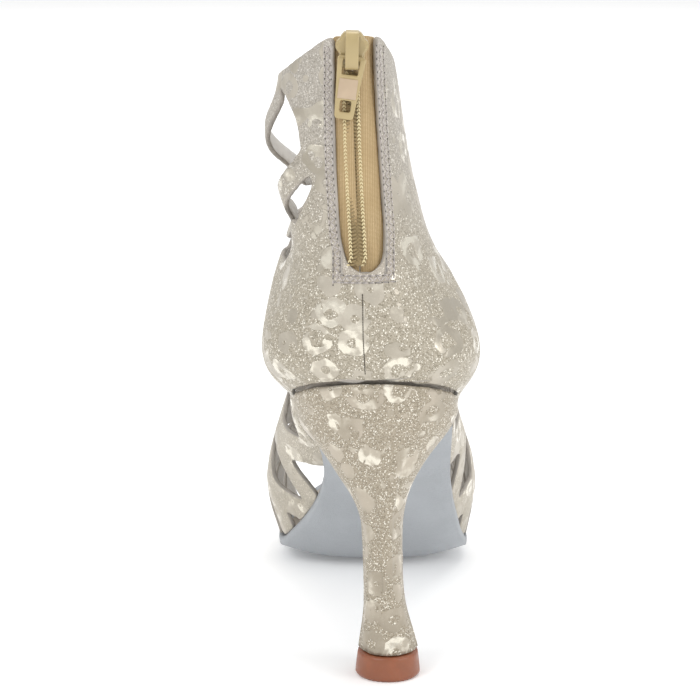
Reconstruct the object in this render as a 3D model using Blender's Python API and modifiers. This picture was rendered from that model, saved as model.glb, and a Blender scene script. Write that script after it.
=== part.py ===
"""Ballroom dance shoe for a right foot: open toe, crossed straps over the front,
zip up the back and a slim flared heel.

Metres, +Z up. The origin is the middle of the heel's floor face, +Y runs to the toe
and +X to the outer (lateral) side of the foot.
"""

import math

import bmesh
import bpy
import numpy as np
from mathutils import Matrix, Vector
from mathutils.geometry import delaunay_2d_cdt

# Driving sizes
LENGTH = 0.210
BALL_WIDTH = 0.0685
SEAT_WIDTH = 0.0515
HEEL_HEIGHT = 0.092
INSTEP = 0.064
SHAFT_RISE = 0.0995
SOLE_THICKNESS = 0.0030
EDGE_LIFT = 0.0050
INSOLE_THICKNESS = 0.0024
WALL = 0.0016
STRAP_WIDTH = 0.0074
CLEARANCE = 0.0003

TIP_WIDTH = 0.0200

# Zip
ZIP_WINDOW_WIDTH = 0.0152
ZIP_WINDOW_END = 0.0100
ZIP_OFFSET = -0.0022
TAPE_THICKNESS = 0.0008
TAPE_GAP = 0.0006
TAPE_WIDTH = 0.0260
CHAIN_WIDTH = 0.0052
CHAIN_HEIGHT = 0.0017
SLIDER_WIDTH = 0.0096
SLIDER_LENGTH = 0.0116
SLIDER_HEIGHT = 0.0026
BRIDGE_WIDTH = 0.0040
BRIDGE_LENGTH = 0.0098
BRIDGE_THICKNESS = 0.0011
BRIDGE_OPENING = 0.0022
TAB_WIDTH = 0.0084
TAB_TAPER = 0.36
TAB_LENGTH = 0.0182
TAB_THICKNESS = 0.0012
TAB_TILT = 7.0
TAB_CORNER = 0.0011

# Where the shoe's rear and toe lie before and behind the heel's floor face
SEAT_REAR = -0.018
SEAT_FRONT = 0.032

# Share of the tread's width that stays flat
FLAT_SHARE = 0.334

# Fineness of the shells
MESH_STEP = 0.0053
ROW_STEP = 0.014
GIRTH = 0.085
STRAP_PIECES = 31
SMALLEST_GAP = 0.000012
WELD = 0.00002

# Underside of the sole along the foot: y from the seat's rear as a share of LENGTH,
# height as a share of HEEL_HEIGHT
PROFILE = [
    {"along": 0.000, "height": 1.000},
    {"along": 0.119, "height": 0.904},
    {"along": 0.238, "height": 0.808},
    {"along": 0.305, "height": 0.716},
    {"along": 0.371, "height": 0.585},
    {"along": 0.443, "height": 0.424},
    {"along": 0.514, "height": 0.247},
    {"along": 0.576, "height": 0.105},
    {"along": 0.624, "height": 0.026},
    {"along": 0.662, "height": 0.000},
    {"along": 0.724, "height": 0.000},
    {"along": 0.805, "height": 0.012},
    {"along": 0.895, "height": 0.045},
    {"along": 1.000, "height": 0.105},
]

# Outline of the sole from the seat's rear to the toe: y as a share of LENGTH, the two
# edges as shares of BALL_WIDTH from the heel's axis, "lift" how far the edges rise above
# the middle as a share of EDGE_LIFT
OUTLINE = [
    {"along": 0.000, "medial": -0.073, "lateral": -0.073, "lift": 0.0},
    {"along": 0.018, "medial": -0.270, "lateral": 0.125, "lift": 0.0},
    {"along": 0.060, "medial": -0.385, "lateral": 0.245, "lift": 0.0},
    {"along": 0.115, "medial": -0.430, "lateral": 0.312, "lift": 0.0},
    {"along": 0.181, "medial": -0.425, "lateral": 0.320, "lift": 0.0},
    {"along": 0.252, "medial": -0.385, "lateral": 0.316, "lift": 0.0},
    {"along": 0.348, "medial": -0.325, "lateral": 0.315, "lift": 0.2},
    {"along": 0.443, "medial": -0.295, "lateral": 0.325, "lift": 0.5},
    {"along": 0.524, "medial": -0.350, "lateral": 0.360, "lift": 0.8},
    {"along": 0.600, "medial": -0.480, "lateral": 0.415, "lift": 1.0},
    {"along": 0.667, "medial": -0.545, "lateral": 0.455, "lift": 1.0},
    {"along": 0.743, "medial": -0.542, "lateral": 0.445, "lift": 0.9},
    {"along": 0.824, "medial": -0.490, "lateral": 0.390, "lift": 0.8},
    {"along": 0.905, "medial": -0.405, "lateral": 0.305, "lift": 0.6},
    {"along": 0.970, "medial": -0.290, "lateral": 0.180, "lift": 0.3},
    {"along": 1.000, "medial": -0.060, "lateral": -0.060, "lift": 0.0},
]

# Sections of the last from the toe opening to the collar. The lower end of a section is
# on the sole's edge at the outline's row "edge", or past the rear on the back line:
# "up" as a share of SHAFT_RISE, "back" as a share of LENGTH. The upper end is "forward"
# and "rise" from the lower end, as shares of INSTEP. The widest points are shares of
# BALL_WIDTH, at the share "where" of the way down, and "ridge" and "seam" are where the
# front and back lines lie across, also as shares of BALL_WIDTH.
SECTIONS = [
    {"edge": 12.45, "up": 0.000, "back": 0.000, "forward": 0.16, "rise": 0.40,
     "medial": -0.515, "lateral": 0.392, "ridge": -0.09, "seam": -0.073, "where": 0.62, "full": 2.2},
    {"edge": 11.45, "up": 0.000, "back": 0.000, "forward": 0.12, "rise": 0.55,
     "medial": -0.572, "lateral": 0.455, "ridge": -0.10, "seam": -0.073, "where": 0.63, "full": 2.2},
    {"edge": 10.50, "up": 0.000, "back": 0.000, "forward": 0.12, "rise": 0.69,
     "medial": -0.615, "lateral": 0.500, "ridge": -0.12, "seam": -0.073, "where": 0.62, "full": 2.1},
    {"edge": 9.33, "up": 0.000, "back": 0.000, "forward": 0.15, "rise": 0.84,
     "medial": -0.615, "lateral": 0.500, "ridge": -0.13, "seam": -0.073, "where": 0.62, "full": 2.1},
    {"edge": 8.15, "up": 0.000, "back": 0.000, "forward": 0.22, "rise": 0.84,
     "medial": -0.560, "lateral": 0.437, "ridge": -0.14, "seam": -0.073, "where": 0.65, "full": 2.0},
    {"edge": 7.10, "up": 0.000, "back": 0.000, "forward": 0.31, "rise": 0.81,
     "medial": -0.490, "lateral": 0.370, "ridge": -0.16, "seam": -0.073, "where": 0.70, "full": 2.0},
    {"edge": 6.17, "up": 0.000, "back": 0.000, "forward": 0.45, "rise": 0.72,
     "medial": -0.460, "lateral": 0.345, "ridge": -0.18, "seam": -0.073, "where": 0.75, "full": 2.0},
    {"edge": 5.15, "up": 0.000, "back": 0.000, "forward": 0.64, "rise": 0.68,
     "medial": -0.505, "lateral": 0.385, "ridge": -0.20, "seam": -0.073, "where": 0.83, "full": 1.9},
    {"edge": 3.90, "up": 0.000, "back": 0.000, "forward": 0.86, "rise": 0.75,
     "medial": -0.550, "lateral": 0.418, "ridge": -0.23, "seam": -0.073, "where": 0.86, "full": 1.75},
    {"edge": 2.35, "up": 0.000, "back": 0.000, "forward": 1.09, "rise": 0.78,
     "medial": -0.580, "lateral": 0.440, "ridge": -0.26, "seam": -0.080, "where": 0.88, "full": 1.70},
    {"edge": 0.00, "up": 0.000, "back": 0.000, "forward": 1.27, "rise": 0.84,
     "medial": -0.530, "lateral": 0.355, "ridge": -0.28, "seam": -0.090, "where": 0.87, "full": 1.75},
    {"edge": 0.00, "up": 0.140, "back": -0.017, "forward": 1.27, "rise": 0.74,
     "medial": -0.440, "lateral": 0.215, "ridge": -0.29, "seam": -0.100, "where": 0.72, "full": 1.9},
    {"edge": 0.00, "up": 0.285, "back": -0.007, "forward": 1.21, "rise": 0.62,
     "medial": -0.430, "lateral": 0.150, "ridge": -0.31, "seam": -0.097, "where": 0.62, "full": 2.1},
    {"edge": 0.00, "up": 0.445, "back": 0.012, "forward": 1.13, "rise": 0.50,
     "medial": -0.510, "lateral": 0.105, "ridge": -0.33, "seam": -0.105, "where": 0.58, "full": 2.1},
    {"edge": 0.00, "up": 0.610, "back": 0.024, "forward": 1.09, "rise": 0.36,
     "medial": -0.560, "lateral": 0.073, "ridge": -0.35, "seam": -0.117, "where": 0.55, "full": 2.1},
    {"edge": 0.00, "up": 0.790, "back": 0.029, "forward": 1.11, "rise": 0.19,
     "medial": -0.505, "lateral": 0.047, "ridge": -0.37, "seam": -0.127, "where": 0.55, "full": 2.1},
    {"edge": 0.00, "up": 1.000, "back": 0.024, "forward": 1.17, "rise": 0.00,
     "medial": -0.455, "lateral": 0.005, "ridge": -0.38, "seam": -0.130, "where": 0.55, "full": 2.1},
]

# Heel sections from the seat down to the top piece: height as a share of HEEL_HEIGHT,
# sides as shares of SEAT_WIDTH, rear and front as shares of the seat's length, "seat"
# the share of the seat's outline left in the section and of its slope
HEEL = [
    {"height": 0.878, "medial": -0.550, "lateral": 0.422, "rear": -0.330, "front": 0.610, "seat": 0.90},
    {"height": 0.823, "medial": -0.510, "lateral": 0.378, "rear": -0.290, "front": 0.560, "seat": 0.76},
    {"height": 0.777, "medial": -0.436, "lateral": 0.312, "rear": -0.262, "front": 0.490, "seat": 0.60},
    {"height": 0.728, "medial": -0.366, "lateral": 0.240, "rear": -0.236, "front": 0.410, "seat": 0.44},
    {"height": 0.671, "medial": -0.298, "lateral": 0.170, "rear": -0.212, "front": 0.330, "seat": 0.28},
    {"height": 0.609, "medial": -0.220, "lateral": 0.118, "rear": -0.190, "front": 0.254, "seat": 0.12},
    {"height": 0.532, "medial": -0.160, "lateral": 0.086, "rear": -0.168, "front": 0.190, "seat": 0.00},
    {"height": 0.444, "medial": -0.145, "lateral": 0.080, "rear": -0.152, "front": 0.154, "seat": 0.00},
    {"height": 0.341, "medial": -0.136, "lateral": 0.083, "rear": -0.142, "front": 0.138, "seat": 0.00},
    {"height": 0.238, "medial": -0.138, "lateral": 0.102, "rear": -0.142, "front": 0.142, "seat": 0.00},
    {"height": 0.155, "medial": -0.154, "lateral": 0.144, "rear": -0.154, "front": 0.160, "seat": 0.00},
    {"height": 0.086, "medial": -0.174, "lateral": 0.178, "rear": -0.174, "front": 0.184, "seat": 0.00},
]

# Front edge of the back panel, from the collar's corner down to the sole: section row
# and share of the way round from the front line
PANEL_EDGE = [
    {"row": 15.20, "medial": 0.540, "lateral": 0.480},
    {"row": 14.95, "medial": 0.690, "lateral": 0.500},
    {"row": 14.65, "medial": 0.765, "lateral": 0.505},
    {"row": 14.20, "medial": 0.795, "lateral": 0.500},
    {"row": 13.70, "medial": 0.835, "lateral": 0.495},
    {"row": 13.10, "medial": 0.785, "lateral": 0.490},
    {"row": 12.40, "medial": 0.705, "lateral": 0.480},
    {"row": 11.40, "medial": 0.600, "lateral": 0.475},
    {"row": 10.30, "medial": 0.520, "lateral": 0.480},
    {"row": 9.00, "medial": 0.510, "lateral": 0.510},
    {"row": 7.60, "medial": 0.600, "lateral": 0.600},
    {"row": 6.30, "medial": 0.760, "lateral": 0.760},
    {"row": 5.60, "medial": 1.000, "lateral": 1.000},
]

# Straps, each on both sides: they leave the back panel or the sole high on one side,
# cross the front line and end low on the other side; width as a share of STRAP_WIDTH
STRAPS = [
    {"high_row": 15.00, "high": 0.630, "side_row": 12.95, "side": 0.375, "front_row": 9.90,
     "low_row": 7.90, "low": 0.560, "width": 0.95},
    {"high_row": 14.20, "high": 0.840, "side_row": 12.10, "side": 0.520, "front_row": 8.10,
     "low_row": 6.60, "low": 0.740, "width": 0.95},
    {"high_row": 12.60, "high": 0.740, "side_row": 10.35, "side": 0.500, "front_row": 6.50,
     "low_row": 5.25, "low": 1.060, "width": 1.10},
    {"high_row": 10.80, "high": 0.590, "side_row": 8.45, "side": 0.440, "front_row": 5.10,
     "low_row": 4.05, "low": 1.060, "width": 1.25},
    {"high_row": 8.90, "high": 0.560, "side_row": 6.80, "side": 0.440, "front_row": 3.85,
     "low_row": 3.00, "low": 1.060, "width": 1.50},
    {"high_row": 7.20, "high": 0.700, "side_row": 5.25, "side": 0.450, "front_row": 2.70,
     "low_row": 2.05, "low": 1.060, "width": 1.65},
    {"high_row": 5.60, "high": 1.060, "side_row": 3.80, "side": 0.500, "front_row": 1.65,
     "low_row": 1.20, "low": 1.060, "width": 1.70},
    {"high_row": 4.00, "high": 1.060, "side_row": 2.45, "side": 0.500, "front_row": 0.65,
     "low_row": 0.40, "low": 1.060, "width": 1.45},
]

# The straps from the outer side lie a little lower over the front
LATERAL_DROP = 0.15

# Rows of the zip: foot of its window and of the chain, ends of the tapes, the slider
WINDOW_FOOT = 12.15
CHAIN_FOOT = 12.32
TAPE_FOOT = 11.80
TAPE_HEAD = 15.93
SLIDER_ROW = 15.80

COLOURS = {
    "fabric": (0.50, 0.46, 0.38),
    "suede": (0.38, 0.41, 0.44),
    "lining": (0.58, 0.55, 0.50),
    "heel_cover": (0.48, 0.43, 0.32),
    "tip": (0.33, 0.10, 0.04),
    "tape": (0.58, 0.41, 0.19),
    "chain": (0.38, 0.28, 0.12),
    "metal": (0.62, 0.53, 0.30),
}


# Curves through the tables

def column(table, name):
    return np.array([row[name] for row in table], float)


def hermite(values, slopes, places, at):
    """Cubic through values at places with the given slopes, read at the points at."""
    at = np.clip(np.asarray(at, float), places[0], places[-1])
    k = np.clip(np.searchsorted(places, at, side="right") - 1, 0, len(places) - 2)
    width = places[k + 1] - places[k]
    f = (at - places[k]) / width
    start = (1 + 2 * f) * (1 - f) ** 2 * values[k] + f * (1 - f) ** 2 * width * slopes[k]
    end = f * f * (3 - 2 * f) * values[k + 1] - f * f * (1 - f) * width * slopes[k + 1]
    return start + end


def smooth(values, at, before=None, after=None):
    """Catmull-Rom curve through evenly numbered rows; before and after close its ends."""
    values = np.asarray(values, float)
    before = 2 * values[0] - values[1] if before is None else before
    after = 2 * values[-1] - values[-2] if after is None else after
    full = np.concatenate([[before], values, [after]])
    slopes = (full[2:] - full[:-2]) / 2
    return hermite(values, slopes, np.arange(len(values), dtype=float), at)


def sole_bottom(y):
    """Height of the sole's underside at y: a flat seat, the shank, a flat tread, toe spring."""
    places = SEAT_REAR + column(PROFILE, "along") * LENGTH
    heights = column(PROFILE, "height") * HEEL_HEIGHT
    run = np.diff(heights) / np.diff(places)
    slopes = np.zeros(len(places))
    product = run[:-1] * run[1:]
    bends = product > 0
    slopes[1:-1][bends] = 2 * product[bends] / (run[:-1] + run[1:])[bends]
    slopes[0] = run[0]
    slopes[2] = run[1]
    slopes[-1] = run[-1]
    return hermite(heights, slopes, places, y)


def sole_slope(y):
    step = MESH_STEP / 4
    return (sole_bottom(y + step) - sole_bottom(y - step)) / (2 * step)


def above_sole(y, thickness):
    """Height of a surface that lies thickness above the underside, square to it."""
    return sole_bottom(y) + thickness * np.sqrt(1 + sole_slope(y) ** 2)


def edge_lift(at, share):
    """How far the sole rises at a share of the way from its middle to its edge."""
    lift = np.maximum(smooth(column(OUTLINE, "lift"), at), 0) * EDGE_LIFT
    return lift * np.clip((np.abs(share) - FLAT_SHARE) / (1 - FLAT_SHARE), 0, 1) ** 1.8


def outline(side, at):
    """Point (x, y) of the sole's edge at the outline's row at; side -1 is medial."""
    own = column(OUTLINE, "medial" if side < 0 else "lateral") * BALL_WIDTH
    other = column(OUTLINE, "lateral" if side < 0 else "medial") * BALL_WIDTH
    along = SEAT_REAR + column(OUTLINE, "along") * LENGTH
    x = smooth(own, at, before=other[1], after=other[-2])
    y = smooth(along, at, before=along[1], after=along[-2])
    return x, y


# The last: the outer face of the upper

FEATHER_INSET = 0.0006
SECTION_POINTS = 40
REAR_FULLNESS = 2.2
UNDER_FULLNESS = 1.7
REAR_REACH = 2.4
GRID_ROWS = 4
GRID_GIRTHS = 22
REAR_SECTION = 10
NEAR_ONE = 0.99999


def section_values(row):
    return {name: smooth(column(SECTIONS, name), row) for name in SECTIONS[0]}


def section_curve(side, row):
    """Points of the sections at the rows, from the front line to the sole or back line."""
    value = section_values(row)
    edge = np.maximum(value["edge"], 0)
    up = np.maximum(value["up"], 0)
    low_x, low_y = outline(side, edge)
    rear_x = outline(side, 0.0)[0]
    low_z = above_sole(low_y, SOLE_THICKNESS + CLEARANCE) + edge_lift(edge, 1.0) + up * SHAFT_RISE
    low_x = low_x - side * FEATHER_INSET * np.minimum(edge, 1) + value["seam"] * BALL_WIDTH - rear_x
    low_y = low_y + FEATHER_INSET * (1 - np.minimum(edge, 1)) + value["back"] * LENGTH
    top_x = value["ridge"] * BALL_WIDTH
    top_y = low_y + value["forward"] * INSTEP
    top_z = low_z + value["rise"] * INSTEP
    wide_x = value["medial" if side < 0 else "lateral"] * BALL_WIDTH
    rear = np.clip((REAR_REACH - edge) / REAR_REACH, 0, 1)
    turn = 1.0 + (REAR_FULLNESS - 1.0) * rear
    under = UNDER_FULLNESS + (REAR_FULLNESS - UNDER_FULLNESS) * rear
    angle = np.linspace(0, math.pi / 2, SECTION_POINTS)[None, :]
    where = value["where"][:, None]
    full = value["full"][:, None]
    front_way = where * (1 - np.cos(angle))
    front_out = (1 - (1 - front_way / where) ** full) ** (1 / full)
    rear_way = where + (1 - where) * np.sin(angle)
    rear_out = (1 - np.sin(angle) ** under[:, None]) ** (1 / turn[:, None])
    front_x = top_x[:, None] + (wide_x - top_x)[:, None] * front_out
    rear_x = low_x[:, None] + (wide_x - low_x)[:, None] * rear_out
    way = np.concatenate([front_way, rear_way[:, 1:]], axis=1)
    x = np.concatenate([front_x, rear_x[:, 1:]], axis=1)
    y = top_y[:, None] + (low_y - top_y)[:, None] * way
    z = top_z[:, None] + (low_z - top_z)[:, None] * way
    return np.stack([x, y, z], axis=2)


def curve_lengths(curves):
    steps = np.linalg.norm(np.diff(curves, axis=1), axis=2)
    return np.concatenate([np.zeros((len(curves), 1)), np.cumsum(steps, axis=1)], axis=1)


def section_grid():
    """Points of the last on an even grid: sections down, girth from -1 to 1 across."""
    head = len(SECTIONS) - 1
    rows = np.linspace(0, head, head * GRID_ROWS + 1)
    shares = np.linspace(0, 1, GRID_GIRTHS + 1)
    halves = []
    for side in (-1, 1):
        curves = section_curve(side, rows)
        lengths = curve_lengths(curves)
        half = np.zeros((len(rows), len(shares), 3))
        for k in range(len(rows)):
            for axis in range(3):
                half[k, :, axis] = np.interp(shares * lengths[k, -1], lengths[k], curves[k, :, axis])
        halves.append(half)
    return np.concatenate([halves[0][:, :0:-1], halves[1]], axis=1)


def relax(grid, rounds):
    """Soften the grid where sections meet; the sole's edge, toe and collar stay."""
    rear = REAR_SECTION * GRID_ROWS
    for _ in range(rounds):
        mean = grid.copy()
        mean[1:-1, 1:-1] = (grid[:-2, 1:-1] + grid[2:, 1:-1] + grid[1:-1, :-2] + grid[1:-1, 2:]) / 4
        seam = (grid[rear:-2, 0] + grid[rear + 2:, 0] + grid[rear + 1:-1, 1] + grid[rear + 1:-1, -2]) / 4
        mean[rear + 1:-1, 0] = seam
        mean[rear + 1:-1, -1] = seam
        grid = grid + (mean - grid) * 0.5
    return grid


GRID = relax(section_grid(), 8)


def weights(at, count):
    """First of four grid lines round at, and their Catmull-Rom weights."""
    at = np.clip(at, 0, count - 1)
    first = np.clip(np.floor(at).astype(int), 0, count - 2)
    f = at - first
    shares = np.stack([-0.5 * f + f ** 2 - 0.5 * f ** 3, 1 - 2.5 * f ** 2 + 1.5 * f ** 3,
                       0.5 * f + 2 * f ** 2 - 1.5 * f ** 3, -0.5 * f ** 2 + 0.5 * f ** 3], axis=1)
    return first - 1, shares


def between_lines(row, girth):
    """Points between the lines of the grid."""
    row_count, girth_count = GRID.shape[:2]
    first_row, row_shares = weights(row * GRID_ROWS, row_count)
    first_girth, girth_shares = weights((girth + 1) * GRID_GIRTHS, girth_count)
    points = np.zeros((len(row), 3))
    for i in range(4):
        for j in range(4):
            r = np.clip(first_row + i, 0, row_count - 1)
            g = np.clip(first_girth + j, 0, girth_count - 1)
            points += GRID[r, g] * (row_shares[:, i] * girth_shares[:, j])[:, None]
    return points


def last(row, girth):
    """Points of the last: girth is 0 on the front line and -1 or 1 at the low end."""
    row = np.atleast_1d(np.asarray(row, float))
    girth = np.atleast_1d(np.asarray(girth, float))
    row, girth = np.broadcast_arrays(row, girth)
    points = between_lines(row, girth)
    seam = (row >= REAR_SECTION) & (np.abs(girth) > NEAR_ONE)
    points[seam] = (points[seam] + between_lines(row[seam], -girth[seam])) / 2
    return points


def half_girth(side, row):
    return curve_lengths(last(row, side * np.linspace(0, 1, SECTION_POINTS))[None])[0, -1]


def last_normal(row, girth):
    """Outward unit normals of the last."""
    step = 0.01
    row = np.atleast_1d(np.asarray(row, float))
    girth = np.atleast_1d(np.asarray(girth, float))
    inner = np.clip(girth, -1 + step, 1 - step)
    across = last(row, inner + step) - last(row, inner - step)
    along = last(row + step, inner) - last(row - step, inner)
    normal = np.cross(along, across)
    return normal / np.linalg.norm(normal, axis=1, keepdims=True)


# The upper: panels and straps drawn on the last's own map

def on_map(row, girth):
    return np.array([row * ROW_STEP, girth * GIRTH])


def from_map(points):
    return points[:, 0] / ROW_STEP, points[:, 1] / GIRTH


def dense(points):
    """The same path with no step longer than MESH_STEP."""
    path = [points[0]]
    for start, end in zip(points[:-1], points[1:]):
        count = max(1, math.ceil(np.linalg.norm(end - start) / MESH_STEP))
        for k in range(1, count + 1):
            path.append(start + (end - start) * (k / count))
    return path


def curved(rows, girths, pieces):
    """A smooth path on the map through the given places."""
    at = np.linspace(0, len(rows) - 1, pieces)
    return [on_map(r, g) for r, g in zip(smooth(rows, at), smooth(girths, at))]


def window_half(row):
    """Half the width of the zip's window, rounded off at its foot."""
    rise = (row - WINDOW_FOOT) * SHAFT_RISE / (len(SECTIONS) - 1 - REAR_SECTION)
    foot = ZIP_WINDOW_END / 2
    corner = min(max(rise / foot, 0), 1)
    widening = (ZIP_WINDOW_WIDTH / 2 - foot) * min(max(rise / (1.8 * foot), 0), 1)
    return foot * math.sqrt(1 - (1 - corner) ** 2) + widening


def panel_outline(side):
    """Half of the back panel: sole's edge, back seam, zip window, collar, front edge."""
    edge_rows = column(PANEL_EDGE, "row")
    edge_girths = column(PANEL_EDGE, "medial" if side < 0 else "lateral")
    head = float(len(SECTIONS) - 1)
    path = dense([on_map(r, side) for r in np.arange(edge_rows[-1], WINDOW_FOOT, 0.25)] +
                 [on_map(WINDOW_FOOT, side)])
    for row in np.concatenate([np.linspace(WINDOW_FOOT + 0.02, WINDOW_FOOT + 0.3, 5),
                               np.arange(WINDOW_FOOT + 0.6, head, 0.3), [head]]):
        share = 1 - window_half(row) / half_girth(side, row)
        path.append(on_map(row, side * share))
    collar = [path[-1], on_map(edge_rows[0], side * edge_girths[0])]
    path += dense(collar)[1:]
    front = curved(edge_rows, side * edge_girths, 4 * len(edge_rows))
    return path + dense(front)[1:-1]


def strap_outline(strap, side):
    """A band of even width on the last, round its own middle line."""
    lower = LATERAL_DROP if side > 0 else 0.0
    rows = [strap["high_row"], strap["side_row"] - lower, strap["front_row"] - lower, strap["low_row"]]
    girths = [side * strap["high"], side * strap["side"], 0.0, -side * strap["low"]]
    places = np.array(curved(rows, girths, STRAP_PIECES))
    rows, girths = from_map(places)
    inner = np.clip(girths, -0.97, 0.97)
    step = 0.02
    per_row = (last(rows + step, inner) - last(rows - step, inner)) / (2 * step * ROW_STEP)
    per_girth = (last(rows, inner + step) - last(rows, inner - step)) / (2 * step * GIRTH)
    ways = np.gradient(places, axis=0)
    half = strap["width"] * STRAP_WIDTH / 2
    left = []
    right = []
    for k, way in enumerate(ways):
        metric = np.array([[per_row[k] @ per_row[k], per_row[k] @ per_girth[k]],
                           [per_row[k] @ per_girth[k], per_girth[k] @ per_girth[k]]])
        across = np.linalg.solve(metric, np.array([-way[1], way[0]]))
        across /= math.sqrt(across @ metric @ across)
        left.append(places[k] + across * half)
        right.append(places[k] - across * half)
    return left + right[::-1]


def inside(points, polygon):
    """Which points lie in the polygon."""
    result = np.zeros(len(points), bool)
    for start, end in zip(polygon, np.roll(polygon, -1, axis=0)):
        crosses = (start[1] > points[:, 1]) != (end[1] > points[:, 1])
        rise = np.where(crosses, end[1] - start[1], 1.0)
        x = start[0] + (points[:, 1] - start[1]) * (end[0] - start[0]) / rise
        result ^= crosses & (points[:, 0] < x)
    return result


def distance(points, polygon):
    """Distance of each point to the polygon's edges."""
    nearest = np.full(len(points), np.inf)
    for start, end in zip(polygon, np.roll(polygon, -1, axis=0)):
        way = end - start
        along = np.clip((points - start) @ way / max(way @ way, 1e-18), 0, 1)
        gap = np.linalg.norm(points - start - along[:, None] * way, axis=1)
        nearest = np.minimum(nearest, gap)
    return nearest


def upper_shapes():
    shapes = [panel_outline(-1), panel_outline(1)]
    for strap in STRAPS:
        shapes += [strap_outline(strap, -1), strap_outline(strap, 1)]
    return [np.array(shape) for shape in shapes]


def close_small_gaps(surface, triangles, covered, within):
    """Cover each opening whose area is under SMALLEST_GAP."""
    beside = {}
    for k, triangle in enumerate(triangles):
        for a, b in zip(triangle, (*triangle[1:], triangle[0])):
            beside.setdefault((min(a, b), max(a, b)), []).append(k)
    seen = covered.copy()
    for first in range(len(triangles)):
        if seen[first]:
            continue
        seen[first] = True
        patch = [first]
        for k in patch:
            triangle = triangles[k]
            for a, b in zip(triangle, (*triangle[1:], triangle[0])):
                for other in beside[(min(a, b), max(a, b))]:
                    if not seen[other]:
                        seen[other] = True
                        patch.append(other)
        corners = surface[np.array([triangles[k] for k in patch])]
        spans = np.cross(corners[:, 1] - corners[:, 0], corners[:, 2] - corners[:, 0])
        area = np.linalg.norm(spans, axis=1).sum() / 2
        if area < SMALLEST_GAP and within[patch].all():
            covered[patch] = True


def corner_names(flat):
    """Number each corner, the same on both sides of the back line."""
    rows, girths = from_map(flat)
    seam = (np.abs(girths) > NEAR_ONE) & (rows > REAR_SECTION - WELD / ROW_STEP)
    names = list(range(len(flat)))
    met = {}
    for k in np.flatnonzero(seam):
        names[k] = met.setdefault(round(flat[k, 0] / MESH_STEP, 3), int(k))
    return names


def count_fans(corner, triangles):
    """How many separate fans the triangles make round a corner."""
    fans = []
    for triangle in triangles:
        ends = set(triangle) - {corner}
        joined = [fan for fan in fans if fan & ends]
        fans = [fan for fan in fans if not fan & ends] + [ends.union(*joined)]
    return len(fans)


def close_pinches(flat, triangles, covered, within):
    """Cover the ground round each corner where covered parts only touch at a point."""
    names = corner_names(flat)
    named = [tuple(names[corner] for corner in triangle) for triangle in triangles]
    around = {}
    for k in np.flatnonzero(within):
        for corner in named[k]:
            around.setdefault(corner, []).append(k)
    pinched = list(around)
    while pinched:
        pinched = [corner for corner, near in around.items()
                   if count_fans(corner, [named[k] for k in near if covered[k]]) > 1]
        for corner in pinched:
            covered[around[corner]] = True


def upper_mesh():
    """Triangles of the upper's outer face: panels and straps joined where they cross."""
    shapes = upper_shapes()
    low = on_map(0, -1)
    high = on_map(len(SECTIONS) - 1, 1)
    grid = [np.array([x, y])
            for k, x in enumerate(np.arange(low[0] + MESH_STEP / 2, high[0], MESH_STEP * 0.87))
            for y in np.arange(low[1] + MESH_STEP * (0.25 + 0.5 * (k % 2)), high[1], MESH_STEP)]
    grid = np.array(grid)
    used = np.zeros(len(grid), bool)
    clear = np.full(len(grid), np.inf)
    for shape in shapes:
        used |= inside(grid, shape)
        clear = np.minimum(clear, distance(grid, shape))
    grid = grid[used & (clear > MESH_STEP * 0.45)]
    rim_rows = np.arange(0, len(SECTIONS) - 0.99, 0.25)
    rim = [on_map(r, -1) for r in rim_rows] + [on_map(r, 1) for r in rim_rows[::-1]]
    points = [Vector(p) for p in rim]
    faces = [list(range(len(rim)))]
    for shape in shapes:
        faces.append(list(range(len(points), len(points) + len(shape))))
        points += [Vector(p) for p in shape]
    points += [Vector(p) for p in grid]
    flat, _, triangles, _, _, _ = delaunay_2d_cdt(points, [], faces, 0, WALL / 4)
    flat = np.array([tuple(p) for p in flat])
    centres = np.array([flat[list(t)].mean(axis=0) for t in triangles])
    covered = np.zeros(len(centres), bool)
    for shape in shapes:
        covered |= inside(centres, shape)
    within = inside(centres, np.array(rim))
    rows, girths = from_map(flat)
    surface = last(rows, girths)
    close_small_gaps(surface, triangles, covered, within)
    close_pinches(flat, triangles, covered, within)
    kept = [t for t, chosen in zip(triangles, covered & within) if chosen]
    return surface, kept


# Objects

def new_material(name, roughness, metallic=0.0):
    material = bpy.data.materials.new(name)
    material.use_nodes = True
    shader = material.node_tree.nodes["Principled BSDF"]
    shader.inputs["Base Color"].default_value = (*COLOURS[name], 1)
    shader.inputs["Roughness"].default_value = roughness
    shader.inputs["Metallic"].default_value = metallic
    return material


def new_object(name, points, faces, collection, material=None):
    """An object from points and faces, welded, with its faces turned outward."""
    mesh = bpy.data.meshes.new(name)
    mesh.from_pydata([tuple(map(float, p)) for p in points], [], [list(f) for f in faces])
    shape = bmesh.new()
    shape.from_mesh(mesh)
    bmesh.ops.remove_doubles(shape, verts=shape.verts, dist=WELD)
    loose = [v for v in shape.verts if not v.link_faces]
    bmesh.ops.delete(shape, geom=loose, context="VERTS")
    bmesh.ops.recalc_face_normals(shape, faces=shape.faces)
    if shape.calc_volume(signed=True) < 0:
        bmesh.ops.reverse_faces(shape, faces=shape.faces)
    shape.to_mesh(mesh)
    shape.free()
    piece = bpy.data.objects.new(name, mesh)
    collection.objects.link(piece)
    if material:
        mesh.materials.append(material)
    mesh.shade_smooth()
    mesh.set_sharp_from_angle(angle=math.radians(40))
    return piece


def loft(name, rings, collection, material=None):
    """A closed solid through rings of equally many points."""
    count = len(rings[0])
    points = [p for ring in rings for p in ring]
    faces = [list(range(count))]
    for k in range(len(rings) - 1):
        for j in range(count):
            after = (j + 1) % count
            faces.append([k * count + j, (k + 1) * count + j, (k + 1) * count + after, k * count + after])
    faces.append(list(range((len(rings) - 1) * count, len(rings) * count)))
    return new_object(name, points, faces, collection, material)


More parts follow.
